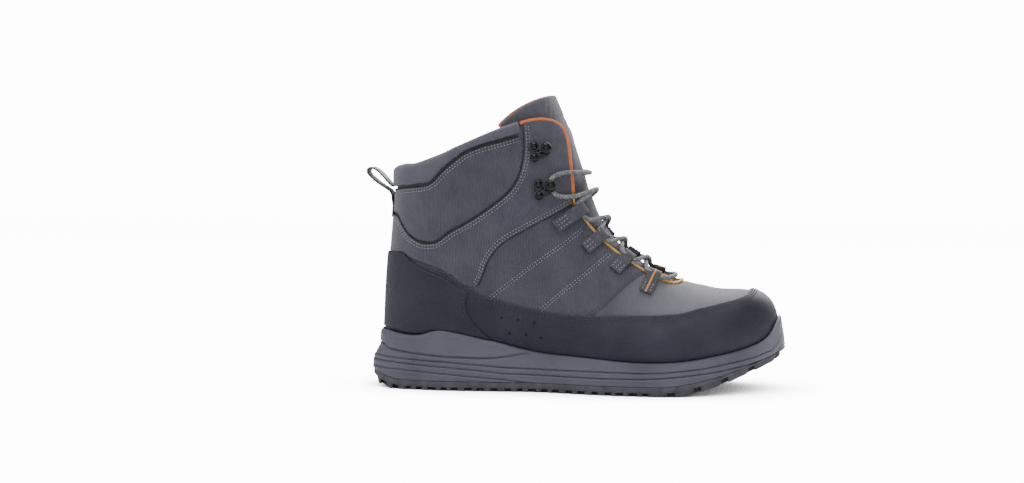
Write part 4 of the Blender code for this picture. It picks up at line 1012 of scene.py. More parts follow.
def make_finishes():
    """Every material of the boot, named for what it is made of."""
    FINISHES.update({
        "textile": woven_textile("woven textile", "#4e4e59", "#575762"),
        # Cloth of the shell, with a painted highlight on the top of the vamp towards the toe.
        "vamp": woven_textile("woven textile, vamp, painted toe highlight", "#4e4e59", "#575762", 0.30),
        "panel": woven_textile("woven textile, side panel", "#4a4b54", "#53545e"),
        "tongue": woven_textile("woven textile, tongue", "#565760", "#606169"),
        "knit": stretch_knit("stretch knit", "#4d4e57", "#565760"),
        "lining": stretch_knit("knit lining", "#25272b", "#303338"),
        "nubuck": synthetic_nubuck("synthetic nubuck", "#1f202b", "#272834"),
        # Its toe bumper carries a painted highlight.
        "foam": moulded_foam("moulded foam", "#4c4d58", "#555661"),
        "rubber": sole_rubber("sole rubber", "#3a3b41", "#4a4b51"),
        # Darker rubber in the hollows of the tread: painted shade.
        "hollow": sole_rubber("sole rubber, painted shade in the hollows", "#191a1d", "#222327"),
        "webbing": webbing_cloth("polyester webbing", "#3d3f46", "#4d5057"),
        "low_webbing": webbing_cloth("polyester webbing, lowest loop", "#363a3d", "#474b4c"),
        "pull": webbing_cloth("polyester webbing, light", "#8d9196", "#a3a7ab"),
        "lace": lace_braid("lace braid", "#6b6f70", "#969a9b"),
        "steel": coated_steel("black coated steel", "#0e0f13", 0.22),
        "rim": coated_steel("steel rim", "#3a3b43", 0.3),
        "footbed": stretch_knit("footbed cloth", "#2b2d31", "#3a3d42"),
        "orange": plain_cloth("orange edge tape", "#c4682a", 0.7),
        "stripe": plain_cloth("orange stripe of the lowest loop", "#cc8338", 0.7),
        "yellow": plain_cloth("yellow piping", "#d9a640", 0.6),
        "thread": plain_cloth("light thread", "#94969f", 0.7),
        "dark_thread": plain_cloth("dark thread", "#33353d", 0.7),
        # Near-black strips along the seams: painted shadow under the panel edges.
        "painted_shadow": plain_cloth("painted shadow along seams", "#1b1c21", 0.9),
        "hole": plain_cloth("shadowed hole", "#0c0c0e", 0.95),
    })


def own(thing, *nodes):
    """The piece rides the one body and stands for its frame nodes."""
    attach(thing, "root")
    if nodes:
        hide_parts(*nodes)
    return thing


def make_upper():
    """The one hollow textile shell, lined, open at collar, throat and underneath."""
    own(slab("textile_upper", UPPER_SEAMS, "round", -WALL, WALL,
             [FINISHES["vamp"], FINISHES["lining"]]), "upper")


def make_side_panels():
    """Thin overlay between the quarter and the vamp on both sides."""
    for side in ("outer", "inner"):
        own(slab(f"side_panel_{side}", SIDE_SEAMS, side, 0.05 * MM, 0.45 * MM,
                 [FINISHES["panel"]], edge=1.2 * MM))


def make_rand():
    """Mudguard all round, with the toe cap."""
    own(slab("nubuck_rand", RAND_SEAMS, "round", PANEL_BASE, RAND_FACE - PANEL_BASE,
             [FINISHES["nubuck"]], edge=1.6 * MM), "rand")


def make_counter():
    """Stiffener cover over the back of the rand."""
    own(slab("counter_cover", COUNTER_SEAMS, "back", CUP_FACE, COUNTER_THICKNESS,
             [FINISHES["nubuck"]], edge=1.8 * MM), "heel_counter")


def make_quarter():
    """Quarter with its front flaps, round the back."""
    own(slab("quarter_panel", QUARTER_SEAMS, "back", PANEL_BASE, PANEL_THICKNESS,
             [FINISHES["textile"]], lie="shaft", edge=1.5 * MM), "quarter")


def make_ankle_panel():
    """Panel round the back of the ankle, between the cuff and the quarter."""
    own(slab("ankle_cover", ANKLE_SEAMS, "back", GAP, PANEL_THICKNESS,
             [FINISHES["panel"]], lie="shaft", edge=1.5 * MM), "ankle_panel")


def make_cuff():
    """Padded stretch collar that rolls over the edge of the shell and lines it."""
    spacing = bpy.context.scene.boot_looks.mesh_spacing
    lining = -WALL - 0.5 * LINING_GAP
    profile = Spline([
        (0.00, GAP + 0.12 * CUFF_THICKNESS), (0.08, GAP + 0.62 * CUFF_THICKNESS),
        (0.28, GAP + 0.95 * CUFF_THICKNESS), (0.60, GAP + 1.06 * CUFF_THICKNESS),
        (0.88, GAP + 0.80 * CUFF_THICKNESS), (1.03, -0.15 * WALL), (1.05, -0.8 * WALL),
        (0.98, lining - 0.55 * CUFF_LINING), (0.80, lining - 0.95 * CUFF_LINING),
        (0.50, lining - 1.05 * CUFF_LINING), (0.18, lining - 0.6 * CUFF_LINING),
        (0.08, lining - 0.1 * CUFF_LINING), (0.20, lining), (0.50, lining), (0.75, lining),
        (0.86, lining + 0.3 * WALL), (0.87, -0.5 * WALL), (0.86, GAP * 0.6), (0.60, GAP),
        (0.30, GAP), (0.02, GAP),
    ])
    section = profile(np.linspace(0, profile.count - 1, 62))
    lower, upper = column_places(CUFF_SEAMS, "back", spacing, 2.5 * MM)
    far = lengths(on_last(*((lower + upper) / 2).T))
    end = np.minimum(far, far[-1] - far)
    puff = 0.35 + 0.65 * np.sqrt(1 - (1 - np.clip(end / (4 * MM), 0, 1)) ** 2)
    middle = (GAP + lining) / 2
    places = lower[None] + (upper - lower)[None] * section[:, 0][:, None, None]
    height = middle + (section[:, 1][:, None] - middle) * puff[None, :]
    row, turn = places[..., 0], places[..., 1]
    grid = surface(row, turn, height)
    rings, columns = row.shape
    faces = ring_faces(rings, columns, True, False)
    for c in (0, columns - 1):
        faces.append(tuple(r * columns + c for r in range(rings)))
    made = add_mesh("collar_cuff", grid.reshape(-1, 3), faces, [FINISHES["knit"]],
                    texture_place(row, turn, "shaft").reshape(-1, 2), sharp=70)
    own(made, "cuff")


def tongue_grid(height_at):
    """Rows, turns and heights of one face of the tongue, its height given down and across."""
    stations = Spline([(row, float(angle(rise)), centre) for row, rise, centre in TONGUE_STATIONS])
    down = np.linspace(0, 1, TONGUE_ROWS)
    across = (1 - np.cos(np.linspace(0, pi, TONGUE_COLUMNS))) / 2
    lines = stations(down * (len(TONGUE_STATIONS) - 1))
    edge_row, edge_turn, centre_row = (lines[:, k][:, None] for k in range(3))
    inward = 1 - (1 - np.clip(np.sin(pi * across), 0, 1)) ** 2.6
    row = edge_row + (centre_row - edge_row) * inward[None, :]
    turn = edge_turn + (2 * pi - 2 * edge_turn) * across[None, :]
    return row, turn, height_at(down[:, None], across[None, :])


def make_tongue():
    """Padded tongue, its wings behind the cuff's lining, its top edge bound in orange."""
    hidden = -WALL - 2 * LINING_GAP - CUFF_LINING
    shown = -WALL - GAP

    def face(down, across):
        middle = smoothstep(0.02, 0.30, across) * smoothstep(0.02, 0.30, 1 - across)
        quilt = 0.5 * MM * np.exp(-((down - 0.16) / 0.012) ** 2)
        top = 2.4 * MM * (1 - np.sqrt(1 - (1 - np.clip(down / 0.035, 0, 1)) ** 2))
        return hidden + (shown - hidden) * middle - quilt * middle - top

    def back(down, across):
        depth = TONGUE_THICKNESS * (0.30 + 0.70 * np.sqrt(np.clip(4 * across * (1 - across), 0, 1)))
        ends = np.sqrt(1 - (1 - np.clip(np.minimum(down, 1 - down) / 0.03, 0, 1)) ** 2)
        return face(down, across) - depth * (0.35 + 0.65 * ends)

    row, turn, front = tongue_grid(face)
    outside = surface(row, turn, front)
    inside = surface(row, turn, tongue_grid(back)[2])
    picture = texture_place(row, turn - 2 * pi * (turn > pi), "foot").reshape(-1, 2)
    picture[:, 0] = np.tile(np.linspace(-85 * MM, 85 * MM, TONGUE_COLUMNS), TONGUE_ROWS)
    made = add_sheet("padded_tongue", outside, inside, False, picture,
                     [FINISHES["tongue"], FINISHES["lining"]], sharp=60)
    own(made, "tongue")
    rear = (outside[:30, 1] + inside[:30, 1]) / 2
    half = TONGUE_COLUMNS // 2
    sink = smoothstep(0, 1, np.linspace(0, 1, half - 2))[:, None]
    top = outside[0, 2:half] * (0.5 - 0.2 * sink) + inside[0, 2:half] * (0.5 + 0.2 * sink)
    top = top - np.array([0, 0, 0.5 * MM]) * sink
    edge = np.vstack([rear[::-1], top, top[-1:] * np.array([1, 0, 1])])
    edge = resampled(edge, lengths(edge), 90)
    for name, side in SIDES:
        own(round_cord(f"tongue_binding_{name}", edge * np.array([1, side, 1]), BINDING_RADIUS,
                       FINISHES["orange"], 10))


def sole_share(x):
    """How far along the sole a place is, from 0 at the back of the heel to 1."""
    return (np.asarray(x, float) + HEEL_CENTRE) / SOLE_LENGTH


def ground(x):
    """Lowest line of the sole: heel bevel, flat, toe spring."""
    share = sole_share(x)
    heel = HEEL_BEVEL * np.clip(1 - share / 0.10, 0, None) ** 1.6
    toe = TOE_SPRING * 1.26 * np.clip((share - 0.725) / 0.275, 0, None) ** 1.5
    return heel + toe


def outsole_top(x):
    """Line between the outsole and the midsole."""
    toe = smoothstep(0.72, 1, sole_share(x))
    return ground(x) + OUTSOLE_THICKNESS + (TOE_OUTSOLE_THICKNESS - OUTSOLE_THICKNESS) * toe


def cup_edge():
    """Seams of the cup, its top edge all round, plan normals and the sole's margin there."""
    lower, upper = column_places(CUP_SEAMS, "round", CUP_SPACING)
    edge = surface(*upper.T, CUP_FACE, 0)
    tangent = np.roll(edge, -1, axis=0) - np.roll(edge, 1, axis=0)
    outward = -unit(np.stack([-tangent[:, 1], tangent[:, 0], 0 * tangent[:, 0]], -1))
    share = (edge[:, 0] - HEEL_START) / LAST_LENGTH
    return lower, upper, edge, outward, np.interp(share, *zip(*MARGIN_SHARES)) * SOLE_MARGIN


# Moulded lines along the side of the midsole in millimetres, x then z, from the photo.
CLIP_LINE = [(-60, 37), (-37, 34.7), (-30, 31.5), (-10, 28.8), (15, 27), (46, 26.3), (63, 28.1),
             (75, 30.5), (87, 34), (95, 60)]
HIGH_LINE = [(-60, 27), (-40, 26), (-15, 24.3), (13, 23.1), (40, 21.1), (62, 19.4), (91, 18.7),
             (132, 18.6), (164, 18.4), (180, 19), (205, 21.5), (225, 24.8), (245, 28.6),
             (258, 33.2), (263, 39), (266, 50)]
MIDDLE_LINE = [(-60, 23), (-30, 22), (-15, 20.7), (11, 19.2), (40, 16.9), (58, 15), (91, 14.2),
               (132, 13.9), (164, 14.2), (185, 15.6), (215, 19), (235, 22.4), (255, 27),
               (262, 31), (266, 38)]
LOW_LINE = [(-60, 18), (-27, 16.6), (-10, 15.6), (13, 14), (35, 12.2), (58, 10.6), (80, 8),
            (300, 0)]
# How far the back of the cup stands out from its plain slope in millimetres: z, then push.
HEEL_BACK = [(9, 0.3), (13, 1.0), (18, 1.4), (23, 1.1), (26.5, 0), (29, -1.6), (32, -3.0),
             (35, -3.2), (40, -2.4), (46, -1.2)]


def moulded(x, z):
    """Push outward of the moulded lines and bulges on the side of the midsole."""
    push = np.zeros(np.broadcast(x, z).shape)
    for line, depth, width in ((CLIP_LINE, 0.9, 0.55), (HIGH_LINE, 1.2, 0.5),
                               (MIDDLE_LINE, 1.2, 0.5), (LOW_LINE, 1.1, 0.45)):
        at = np.interp(x / MM, *zip(*line)) * MM
        push -= depth * MM * np.exp(-((z - at) / (width * MM)) ** 2)
        push += 0.25 * MM * np.exp(-((z - at + 1.4 * MM) / (0.8 * MM)) ** 2)
    clip = np.interp(x / MM, *zip(*CLIP_LINE)) * MM
    high = np.interp(x / MM, *zip(*HIGH_LINE)) * MM
    heel = 1 - smoothstep(0.40, 0.45, sole_share(x))
    push += heel * HEEL_CLIP_STEP * smoothstep(clip - 0.1 * MM, clip + 1.2 * MM, z)
    below = np.clip((z - high) / np.maximum(clip - high, 1 * MM), 0, 1)
    push += 0.5 * MM * heel * np.sin(pi * below)
    return push


def make_midsole():
    """Foam cup: rolled lip, heel clip, moulded lines and the toe bumper."""
    lower, upper, edge, outward, margin = cup_edge()
    floor = all_round(seam(FLOOR_SEAM, column_steps(CUP_SEAMS, CUP_SPACING, 0)))
    rings = [surface(*floor.T, CUP_FACE, 0)]
    for share in (0, 0.25, 0.5, 0.75, 0.96):
        rings.append(surface(*(lower + (upper - lower) * share).T, CUP_FACE, 0))
    shares = [*np.linspace(0.95, 0.03, 66), 0.015, 0.005, 0.0]
    swell = np.interp(shares, *zip(*CUP_SWELL))
    heel = smoothstep(-0.026, -0.045, edge[:, 0])
    for height_share, margin_share in [*CUP_LIP, *zip(shares, swell)]:
        x = edge[:, 0] + outward[:, 0] * margin * margin_share
        base = outsole_top(x) + 0.15 * MM
        z = base + (edge[:, 2] - base) * height_share
        push = moulded(x, z) * (0.6 if height_share > 0.95 else 1)
        push = push + heel * np.interp(z, *np.array(HEEL_BACK).T * MM)
        place = edge + outward * (margin * margin_share + push)[:, None]
        place[:, 2] = z
        rings.append(place)
    own(add_mesh("foam_midsole", np.vstack(rings), bowl_faces(len(rings), len(edge)),
                 [FINISHES["foam"]], sharp=50), "midsole")


def lug(points, faces, sides, box, taper):
    """One lug of the tread: rounded corners in plan, tapered, its foot chamfered."""
    x0, x1, v0, v1 = box
    corner = 0.16
    ring = []
    for cx, cy, first in ((1, 1, 0), (0, 1, 90), (0, 0, 180), (1, 0, 270)):
        for step in (0, 45, 90):
            turn = radians(first + step)
            ring.append((cx + (corner * cos(turn) - corner if cx else corner + corner * cos(turn)),
                         cy + (corner * sin(turn) - corner if cy else corner + corner * sin(turn))))
    start = len(points)
    centre = ((x0 + x1) / 2, (v0 + v1) / 2)
    for level, shrink in ((LUG_DEPTH + 0.6 * MM, 0.0), (1 * MM, taper), (0.0, taper + 0.8 * MM)):
        for a, b in ring:
            x = x0 + (x1 - x0) * a
            v = v0 + (v1 - v0) * b
            outer, inner = (np.interp(x, side[:, 0], side[:, 1]) for side in sides)
            wide = abs(inner - outer)
            x += np.sign(centre[0] - x) * shrink
            v += np.sign(centre[1] - v) * shrink / max(wide, 1 * MM)
            points.append((x, outer + (inner - outer) * v, float(ground(x)) + level))
    faces.extend(tube_faces(3, len(ring), start))


def make_outsole():
    """Rubber plate with a rounded rim, dark between its lugs; the side lugs are split in two."""
    edge, outward, margin = cup_edge()[2:]
    plan = edge + outward * margin[:, None]
    columns = len(plan)
    half = columns // 2
    rings = []
    for aside, level in OUTSOLE_RIM:
        place = plan + outward * (aside * MM)
        low = ground(place[:, 0])
        toe = smoothstep(0.74, 0.86, sole_share(place[:, 0]))
        skirt = low + SKIRT_HEIGHT + TOE_SKIRT_RISE * toe
        if level is None:
            place[:, 2] = low + LUG_DEPTH
        elif level < 0:
            place[:, 2] = low - level * MM
        else:
            place[:, 2] = skirt + (outsole_top(place[:, 0]) - skirt) * level
        rings.append(place)
    points = [tuple(point) for point in np.vstack(rings)]
    faces = bowl_faces(len(rings), columns)
    # Faces past the shown rings take the darker rubber: painted shade in the hollows.
    marks = [int(k >= SHOWN_RINGS * columns) for k in range(len(faces))]
    rim_line = plan + outward * 0.1 * MM
    sides = [rim_line[:half + 1], np.vstack([rim_line[half:], rim_line[:1]])[::-1]]
    back, front = plan[0, 0], plan[half, 0]
    count = int(round((front - back - 2 * LUG_MARGIN) / LUG_PITCH))
    pitch = (front - back - 2 * LUG_MARGIN) / count
    for i in range(count):
        start = back + LUG_MARGIN + i * pitch
        x0, x1 = start + LUG_GAP / 2, start + pitch - LUG_GAP / 2
        split, gap = LUG_SPLITS[i % 4]
        middle = x0 + split * (x1 - x0)
        for v0, v1 in SIDE_LUGS:
            if i >= count - WHOLE_LUGS:
                spans = [(start + 0.6 * MM, x1 - 0.4 * MM)]
            else:
                spans = [(x0 - 0.6 * MM, middle - gap * MM),
                         (middle + gap * MM, x1 + (i % 3) * 0.4 * MM)]
            for span in spans:
                lug(points, faces, sides, (*span, v0, v1), 0.4 * MM)
        for v0, v1 in MIDDLE_LUGS:
            lug(points, faces, sides, (x0, x1, v0, v1), 0.5 * MM)
    marks += [0] * (len(faces) - len(marks))
    own(add_mesh("rubber_outsole", points, faces, [FINISHES["rubber"], FINISHES["hollow"]],
                 marks=marks, sharp=35), "outsole")


def make_insole():
    """Footbed on the cup's floor, inside the shell's lower rim."""
    floor_steps = column_steps(CUP_SEAMS, 3 * MM, 0)

    def ring(widen, height):
        places = all_round(seam([(row, rise * widen) for row, rise in FLOOR_SEAM], floor_steps))
        return surface(*places.T, height, 0)

    floor = ring(1, CUP_FACE)[:, 2] + 2 * GAP
    foot = ring(0.9, -WALL - GAP)
    foot[:, 2] = floor
    waist = ring(1.4, -WALL - LINING_GAP)
    brim = ring(2.0, -WALL - LINING_GAP)
    columns = len(foot)
    partner = np.roll(brim[::-1], 1, axis=0)
    rings = [foot, waist]
    dish_height = floor + INSOLE_THICKNESS
    brim[:, 2] = np.maximum(brim[:, 2], dish_height + 2 * GAP)
    waist[:, 2] = np.minimum(waist[:, 2], brim[:, 2] - 2 * GAP)
    for share in (0, 0.05, 0.10, 0.16, 0.28, 0.40):
        place = brim + (partner - brim) * share
        place[:, 0] += (brim[0, 0] + brim[columns // 2, 0] - 2 * brim[:, 0]) * 0.19 * share
        blend = smoothstep(0, 0.16, share)
        place[:, 2] = brim[:, 2] + (dish_height - brim[:, 2]) * blend
        rings.append(place)
    own(add_mesh("footbed", np.vstack(rings), bowl_faces(len(rings), columns),
                 [FINISHES["footbed"]]), "insole")


def strap_line(place, outline, base):
    """Centre line of a strap over the surface from (length share, height) points, and the
    direction across it."""
    rear_row, rear_rise, front_row, front_rise, side = place
    fine = Spline(outline)(np.linspace(0, len(outline) - 1, 44))
    row = rear_row + (front_row - rear_row) * fine[:, 0]
    turn = (angle(rear_rise) + (angle(front_rise) - angle(rear_rise)) * fine[:, 0]) * side
    centre = surface(row, turn, base + fine[:, 1])
    normal = tangents(row[:1], turn[:1])[2][0]
    middle = np.argmax(fine[:, 0])
    across = np.cross(normal, centre[middle] - centre[0])
    return centre, across / np.linalg.norm(across)


def loop_base(i):
    """Height of what a loop lies on: the flap for the top one, or the side panel."""
    return PANEL_FACE if i == 0 else SIDE_PANEL_FACE


def make_loops():
    """Folded webbing with an eye for the lace; the lowest pair has an orange centre line."""
    thick = WEBBING_THICKNESS * 0.85
    eye = LOOP_EYE * 0.62
    outline = [(share, layers * thick + rise * eye) for share, layers, rise in LOOP_OUTLINE]
    for name, side in SIDES:
        for i, place in enumerate(LOOP_PLACES):
            lowest = i == len(LOOP_PLACES) - 1
            centre, across = strap_line((*place, side), outline, loop_base(i))
            own(strap(f"webbing_loop_{name}_{i + 1}", centre, across, WEBBING_WIDTH, thick,
                      [FINISHES["low_webbing" if lowest else "webbing"]]),
                f"lace_loop_{name}_{i + 1}")
            if lowest:
                outside = centre[len(centre) // 2:]
                lift = unit(np.cross(np.gradient(outside, axis=0), across))
                normal = tangents(np.array([place[0]]), angle([place[1]]) * side)[2][0]
                mark = outside + lift * 0.5 * thick * np.sign((lift[-8] * normal).sum())
                own(strap(f"loop_stripe_{name}", mark, across, LOOP_STRIPE, 0.35 * MM,
                          [FINISHES["stripe"]]))


def surface_frame(place):
    """Axes on the surface for a fitting: x from the rear to the front place, z outward."""
    rear_row, rear_rise, front_row, front_rise, side = place
    rows = np.array([rear_row, front_row])
    ends = surface(rows, angle([rear_rise, front_rise]) * side, PANEL_FACE)
    normal = tangents(rows, angle([rear_rise, front_rise]) * side)[2].mean(0)
    ahead = ends[1] - ends[0]
    ahead -= normal * (ahead @ normal)
    ahead /= np.linalg.norm(ahead)
    normal /= np.linalg.norm(normal)
    aside = np.cross(normal, ahead)
    return Matrix([(*row, point) for row, point in
                   zip(np.stack([ahead, aside, normal], 1), ends[0])] + [(0, 0, 0, 1)])


def join_parts(name, parts):
    """Joins modelled parts into one object with its transforms applied."""
    bpy.ops.object.select_all(action="DESELECT")
    for part in parts:
        part.select_set(True)
    bpy.context.view_layer.objects.active = parts[0]
    bpy.ops.object.transform_apply(location=True, rotation=True, scale=True)
    bpy.ops.object.join()
    made = bpy.context.view_layer.objects.active
    made.name = name
    made.data.name = name
    return made


def rounded(part, width):
    """Bevels a modelled part for good."""
    bpy.ops.object.select_all(action="DESELECT")
    part.select_set(True)
    bpy.context.view_layer.objects.active = part
    bpy.ops.object.transform_apply(location=False, rotation=False, scale=True)
    bevel = part.modifiers.new("bevel", "BEVEL")
    bevel.width = width
    bevel.segments = 3
    bevel.limit_method = "ANGLE"
    bpy.ops.object.modifier_apply(modifier="bevel")
    bpy.ops.object.shade_smooth_by_angle(angle=radians(40))
    return part


def model_hook():
    """One speed hook: oval plate, two domed rivets with rims, and a crook with a round head."""
    parts = []
    bpy.ops.mesh.primitive_cylinder_add(vertices=48, radius=1, depth=1.1 * MM,
                                        location=(0.6 * MM, 0, 0.6 * MM))
    plate = bpy.context.object
    plate.scale = (*HOOK_PLATE, 1)
    plate.data.materials.append(FINISHES["steel"])
    parts.append(rounded(plate, 0.35 * MM))
    for ahead, rise in RIVETS:
        bpy.ops.mesh.primitive_torus_add(major_radius=RIM_RADIUS, minor_radius=RIM_THICKNESS,
                                         major_segments=32, minor_segments=10,
                                         location=(ahead * MM, rise * MM, 1.25 * MM))
        bpy.context.object.data.materials.append(FINISHES["rim"])
        bpy.ops.object.shade_smooth()
        parts.append(bpy.context.object)
        bpy.ops.mesh.primitive_uv_sphere_add(segments=28, ring_count=14, radius=RIVET_RADIUS,
                                             location=(ahead * MM, rise * MM, 1.15 * MM))
        dome = bpy.context.object
        dome.scale = (1, 1, 0.75)
        dome.data.materials.append(FINISHES["steel"])
        bpy.ops.object.shade_smooth()
        parts.append(dome)
    bpy.ops.mesh.primitive_uv_sphere_add(segments=32, ring_count=18, radius=1,
                                         location=(8.7 * MM, 0.5 * MM, 5.7 * MM))
    head = bpy.context.object
    head.scale = HOOK_HEAD
    head.data.materials.append(FINISHES["steel"])
    bpy.ops.object.shade_smooth()
    parts.append(head)
    share = np.linspace(0, 1, CROOK_STEPS)
    path = Spline(CROOK)(np.linspace(0, len(CROOK) - 1, CROOK_STEPS)) * MM
    along = headings(path)
    lift = np.stack([-along[:, 1], along[:, 0]], -1)
    width = np.interp(share, [0, 0.3, 0.55, 0.8, 0.93, 1], [3.0, 2.4, 2.1, 2.2, 2.0, 1.2]) * MM
    drop = np.interp(share, [0, 0.45, 0.8, 1], [-3.4, -3.0, -1.0, 0]) * MM
    outline = [(cos(a), sin(a)) for a in turns(16)]
    grid = np.array([[(point[0] + up[0] * b * 0.75 * MM, low + a * wide,
                       point[1] + up[1] * b * 0.75 * MM) for a, b in outline]
                     for point, up, wide, low in zip(path, lift, width, drop)])
    parts.append(add_mesh("crook", grid.reshape(-1, 3), tube_faces(CROOK_STEPS, len(outline)),
                          [FINISHES["steel"]]))
    return join_parts("speed_hook", parts)


def make_hooks():
    """Speed hooks, two on each side, as copies of one model."""
    pattern = model_hook()
    for name, side in SIDES:
        for level, place in zip(("high", "low"), HOOK_PLACES):
            made = pattern.copy()
            made.data = pattern.data.copy()
            made.name = f"speed_hook_{name}_{level}"
            bpy.context.scene.collection.objects.link(made)
            if name == "inner":
                made.data.transform(Matrix.Diagonal((1, -1, 1, 1)))
                made.data.flip_normals()
            made.data.transform(surface_frame((*place, side)))
            made.data.update()
            own(made, f"hook_{name}_{level}")
    bpy.data.objects.remove(pattern)


def lace_half(mirror):
    """Centre line of half of the lace, from the toe bar up to its tucked end."""
    rows = []
    crossings = 0
    for i, (row, rise, height, side) in enumerate(LACE_ROUTE):
        if rise == 1.0 and 0 < i < len(LACE_ROUTE) - 2:
            crossings += 1
            height = 0.98 if (crossings % 2 == 0) == (mirror == 1) else 0.02
        turn = float(angle(rise)) * -side * mirror
        rows.append((row, turn % (2 * pi), height * LACE_DIAMETER))
    return surface(*np.array(rows).T)


def make_lace():
    """One round lace: the toe bar, crossings through the loops, turns round the low hooks."""
    one, other = lace_half(1), lace_half(-1)
    route = np.vstack([other[::-1], one[1:]])
    smooth = Spline(route)(np.linspace(0, len(route) - 1, 18 * len(route)))
    far = lengths(smooth)
    smooth = resampled(smooth, far, int(far[-1] / LACE_STEP))
    diameter = bpy.context.scene.boot_looks.lace_diameter
    own(round_cord("round_lace", smooth, diameter / 2, FINISHES["lace"]), "lace")


def make_pull_loop():
    """Webbing loop that stands off the heel's back seam, dark at its selvedges."""
    anchor = surface(1.62, 0.0, PANEL_FACE + 2 * GAP)
    route = [anchor + PULL_LOOP_REACH * np.array([x, 0, z]) for x, z in PULL_LOOP_ROUTE]
    centre = Spline(route)(np.linspace(0, len(route) - 1, 90))
    rows = np.linspace(0.9, 3.4, 90)
    back = surface(rows, 0 * rows, PANEL_FACE + GAP + PULL_LOOP_THICKNESS / 2)
    limit = np.interp(centre[:, 2], back[::-1, 2], back[::-1, 0])
    centre[:, 0] = np.minimum(centre[:, 0], limit)
    centre[:, 0] += 1.5 * MM * smoothstep(-0.2, -0.6, (centre[:, 2] - anchor[2]) / PULL_LOOP_REACH)
    own(strap("heel_pull_loop", centre, np.array([0, 1.0, 0]), PULL_LOOP_WIDTH,
              PULL_LOOP_THICKNESS, [FINISHES["webbing"], FINISHES["pull"]],
              {2, 3, 4, 5, 6, 12, 13, 14, 15, 16}), "pull_loop")


# The flap's bound edge, then the thin piping along the throat, as places on the last.
FLAP_TAPE = [(1.18, 0.772), (1.19, 0.800), (1.24, 0.845), (1.36, 0.893), (1.62, 0.938),
             (2.10, 0.964), (3.10, 0.957), (4.20, 0.943), (4.80, 0.936), (5.35, 0.931),
             (5.62, 0.929)]
THROAT_PIPING = [(5.55, 0.929), (6.60, 0.924), (8.15, 0.934), (9.30, 0.942),
                 (10.50, 0.942), (11.40, 0.944), (11.98, 0.956), (12.24, 0.972), (12.36, 1.000)]


def make_trim():
    """Orange tape round the flaps, dark folds along the seams, and thin yellow piping round
    the throat to its toe end."""
    tape = seam_path(FLAP_TAPE)
    piping = seam_path(THROAT_PIPING)
    widths = np.interp(np.linspace(0, 1, len(tape)), [0, 0.30, 0.45, 1], [0.66, 0.68, 0.92, 1])
    for name, side in SIDES:
        own(strip(f"flap_tape_{name}", tape * np.array([1, side]),
                  round_section(3.7 * MM, 2.6 * MM, TRIM_SINK), FINISHES["orange"], widths))
    low, high = seam_pair(QUARTER_SEAMS, np.linspace(0, len(QUARTER_SEAMS) - 1, 300))
    ankle = seam_pair(ANKLE_SEAMS, np.linspace(0, 13.9, 240))[1]
    # Dark strips under the edges of the quarter and the ankle panel: painted shadow.
    for name, line, aside, base, width in (
            ("shaft", high[:200], 0.3 * MM, 1.0 * MM, 1.0 * MM),
            ("arc", low[124:], -0.4 * MM, 0.1 * MM, 1.0 * MM),
            ("ankle", ankle, 0.3 * MM, 1.0 * MM, 1.5 * MM)):
        place = beside(evenly(line, SAMPLE), aside)
        place = place[1:] if abs(place[0, 1]) < 1e-6 else place
        for side_name, side in SIDES:
            own(strip(f"seam_shadow_{name}_{side_name}", place * np.array([1, side]),
                      round_section(width, 0.7 * MM, base), FINISHES["painted_shadow"]))
    path = np.vstack([piping, (piping * FLIP)[-2::-1]])
    path[len(piping):, 1] += 2 * pi
    own(strip("throat_piping", path, round_section(1.9 * MM, 2.0 * MM, TRIM_SINK),
              FINISHES["yellow"]))


def box_stitch(stitches, place, height):
    """A small box of stitches at the base of a webbing loop."""
    row, rise, end_row, end_rise = place
    share = np.linspace(0.0, 0.40, 3)
    for side in (1, -1):
        rows = row + (end_row - row) * share
        turn = (angle(rise) + (angle(end_rise) - angle(rise)) * share) * side
        line = np.stack([rows, turn], -1)
        for offset in BOX_ROWS:
            stitches.line(line, offset * MM, height, 1.3 * MM, 0.34 * MM, both=False)


def make_stitching():
    """Rows of stitches that follow the seams, light on the textile, dark on the nubuck."""
    steps = np.linspace(0, len(QUARTER_SEAMS) - 1, 300)
    low, high = seam_pair(QUARTER_SEAMS, steps)
    shaft = high[steps < 14.9]
    arc = low[steps > 9.0]
    ankle = seam_pair(ANKLE_SEAMS, np.linspace(0, 13.8, 240))[1]
    light = Stitches()
    for offset in SEAM_ROWS:
        light.line(evenly(shaft, SAMPLE), -offset * MM, PANEL_FACE)
        light.line(evenly(arc, SAMPLE), offset * MM, PANEL_FACE)
        light.line(evenly(ankle, SAMPLE), -offset * MM, GAP + PANEL_THICKNESS)
    for quilt in (FRONT_QUILT, REAR_QUILT):
        for offset in QUILT_ROWS:
            light.line(seam_path(quilt), offset * MM, SIDE_STITCH_FACE)
    for i, place in enumerate(LOOP_PLACES):
        box_stitch(light, place, loop_base(i) + 1.72 * WEBBING_THICKNESS)
    own(light.make("light_stitching", FINISHES["thread"]))
    dark = Stitches()
    # Dark thread on the side panel's front edge, where its row lies in shade: painted shade.
    edge = seam_path([line[2:] for line in SIDE_SEAMS])
    for offset in SIDE_ROWS:
        dark.line(edge, offset * MM, SIDE_STITCH_FACE)
    rand = seam_pair(RAND_SEAMS, np.linspace(4.6, len(RAND_SEAMS) - 1.02, 400))[1]
    for offset in RAND_ROWS:
        dark.line(evenly(rand, SAMPLE), -offset * MM, RAND_FACE)
    front_edge = np.linspace(0.05, 0.97, 60)[:, None]
    low, high = (np.array([row, float(angle(rise))]) for row, rise in
                 (COUNTER_SEAMS[-1][:2], COUNTER_SEAMS[-1][2:]))
    counter = evenly(low + (high - low) * front_edge, SAMPLE)
    for offset in COUNTER_ROWS:
        dark.line(counter, offset * MM, CUP_FACE + COUNTER_THICKNESS)
    own(dark.make("dark_stitching", FINISHES["dark_thread"]))


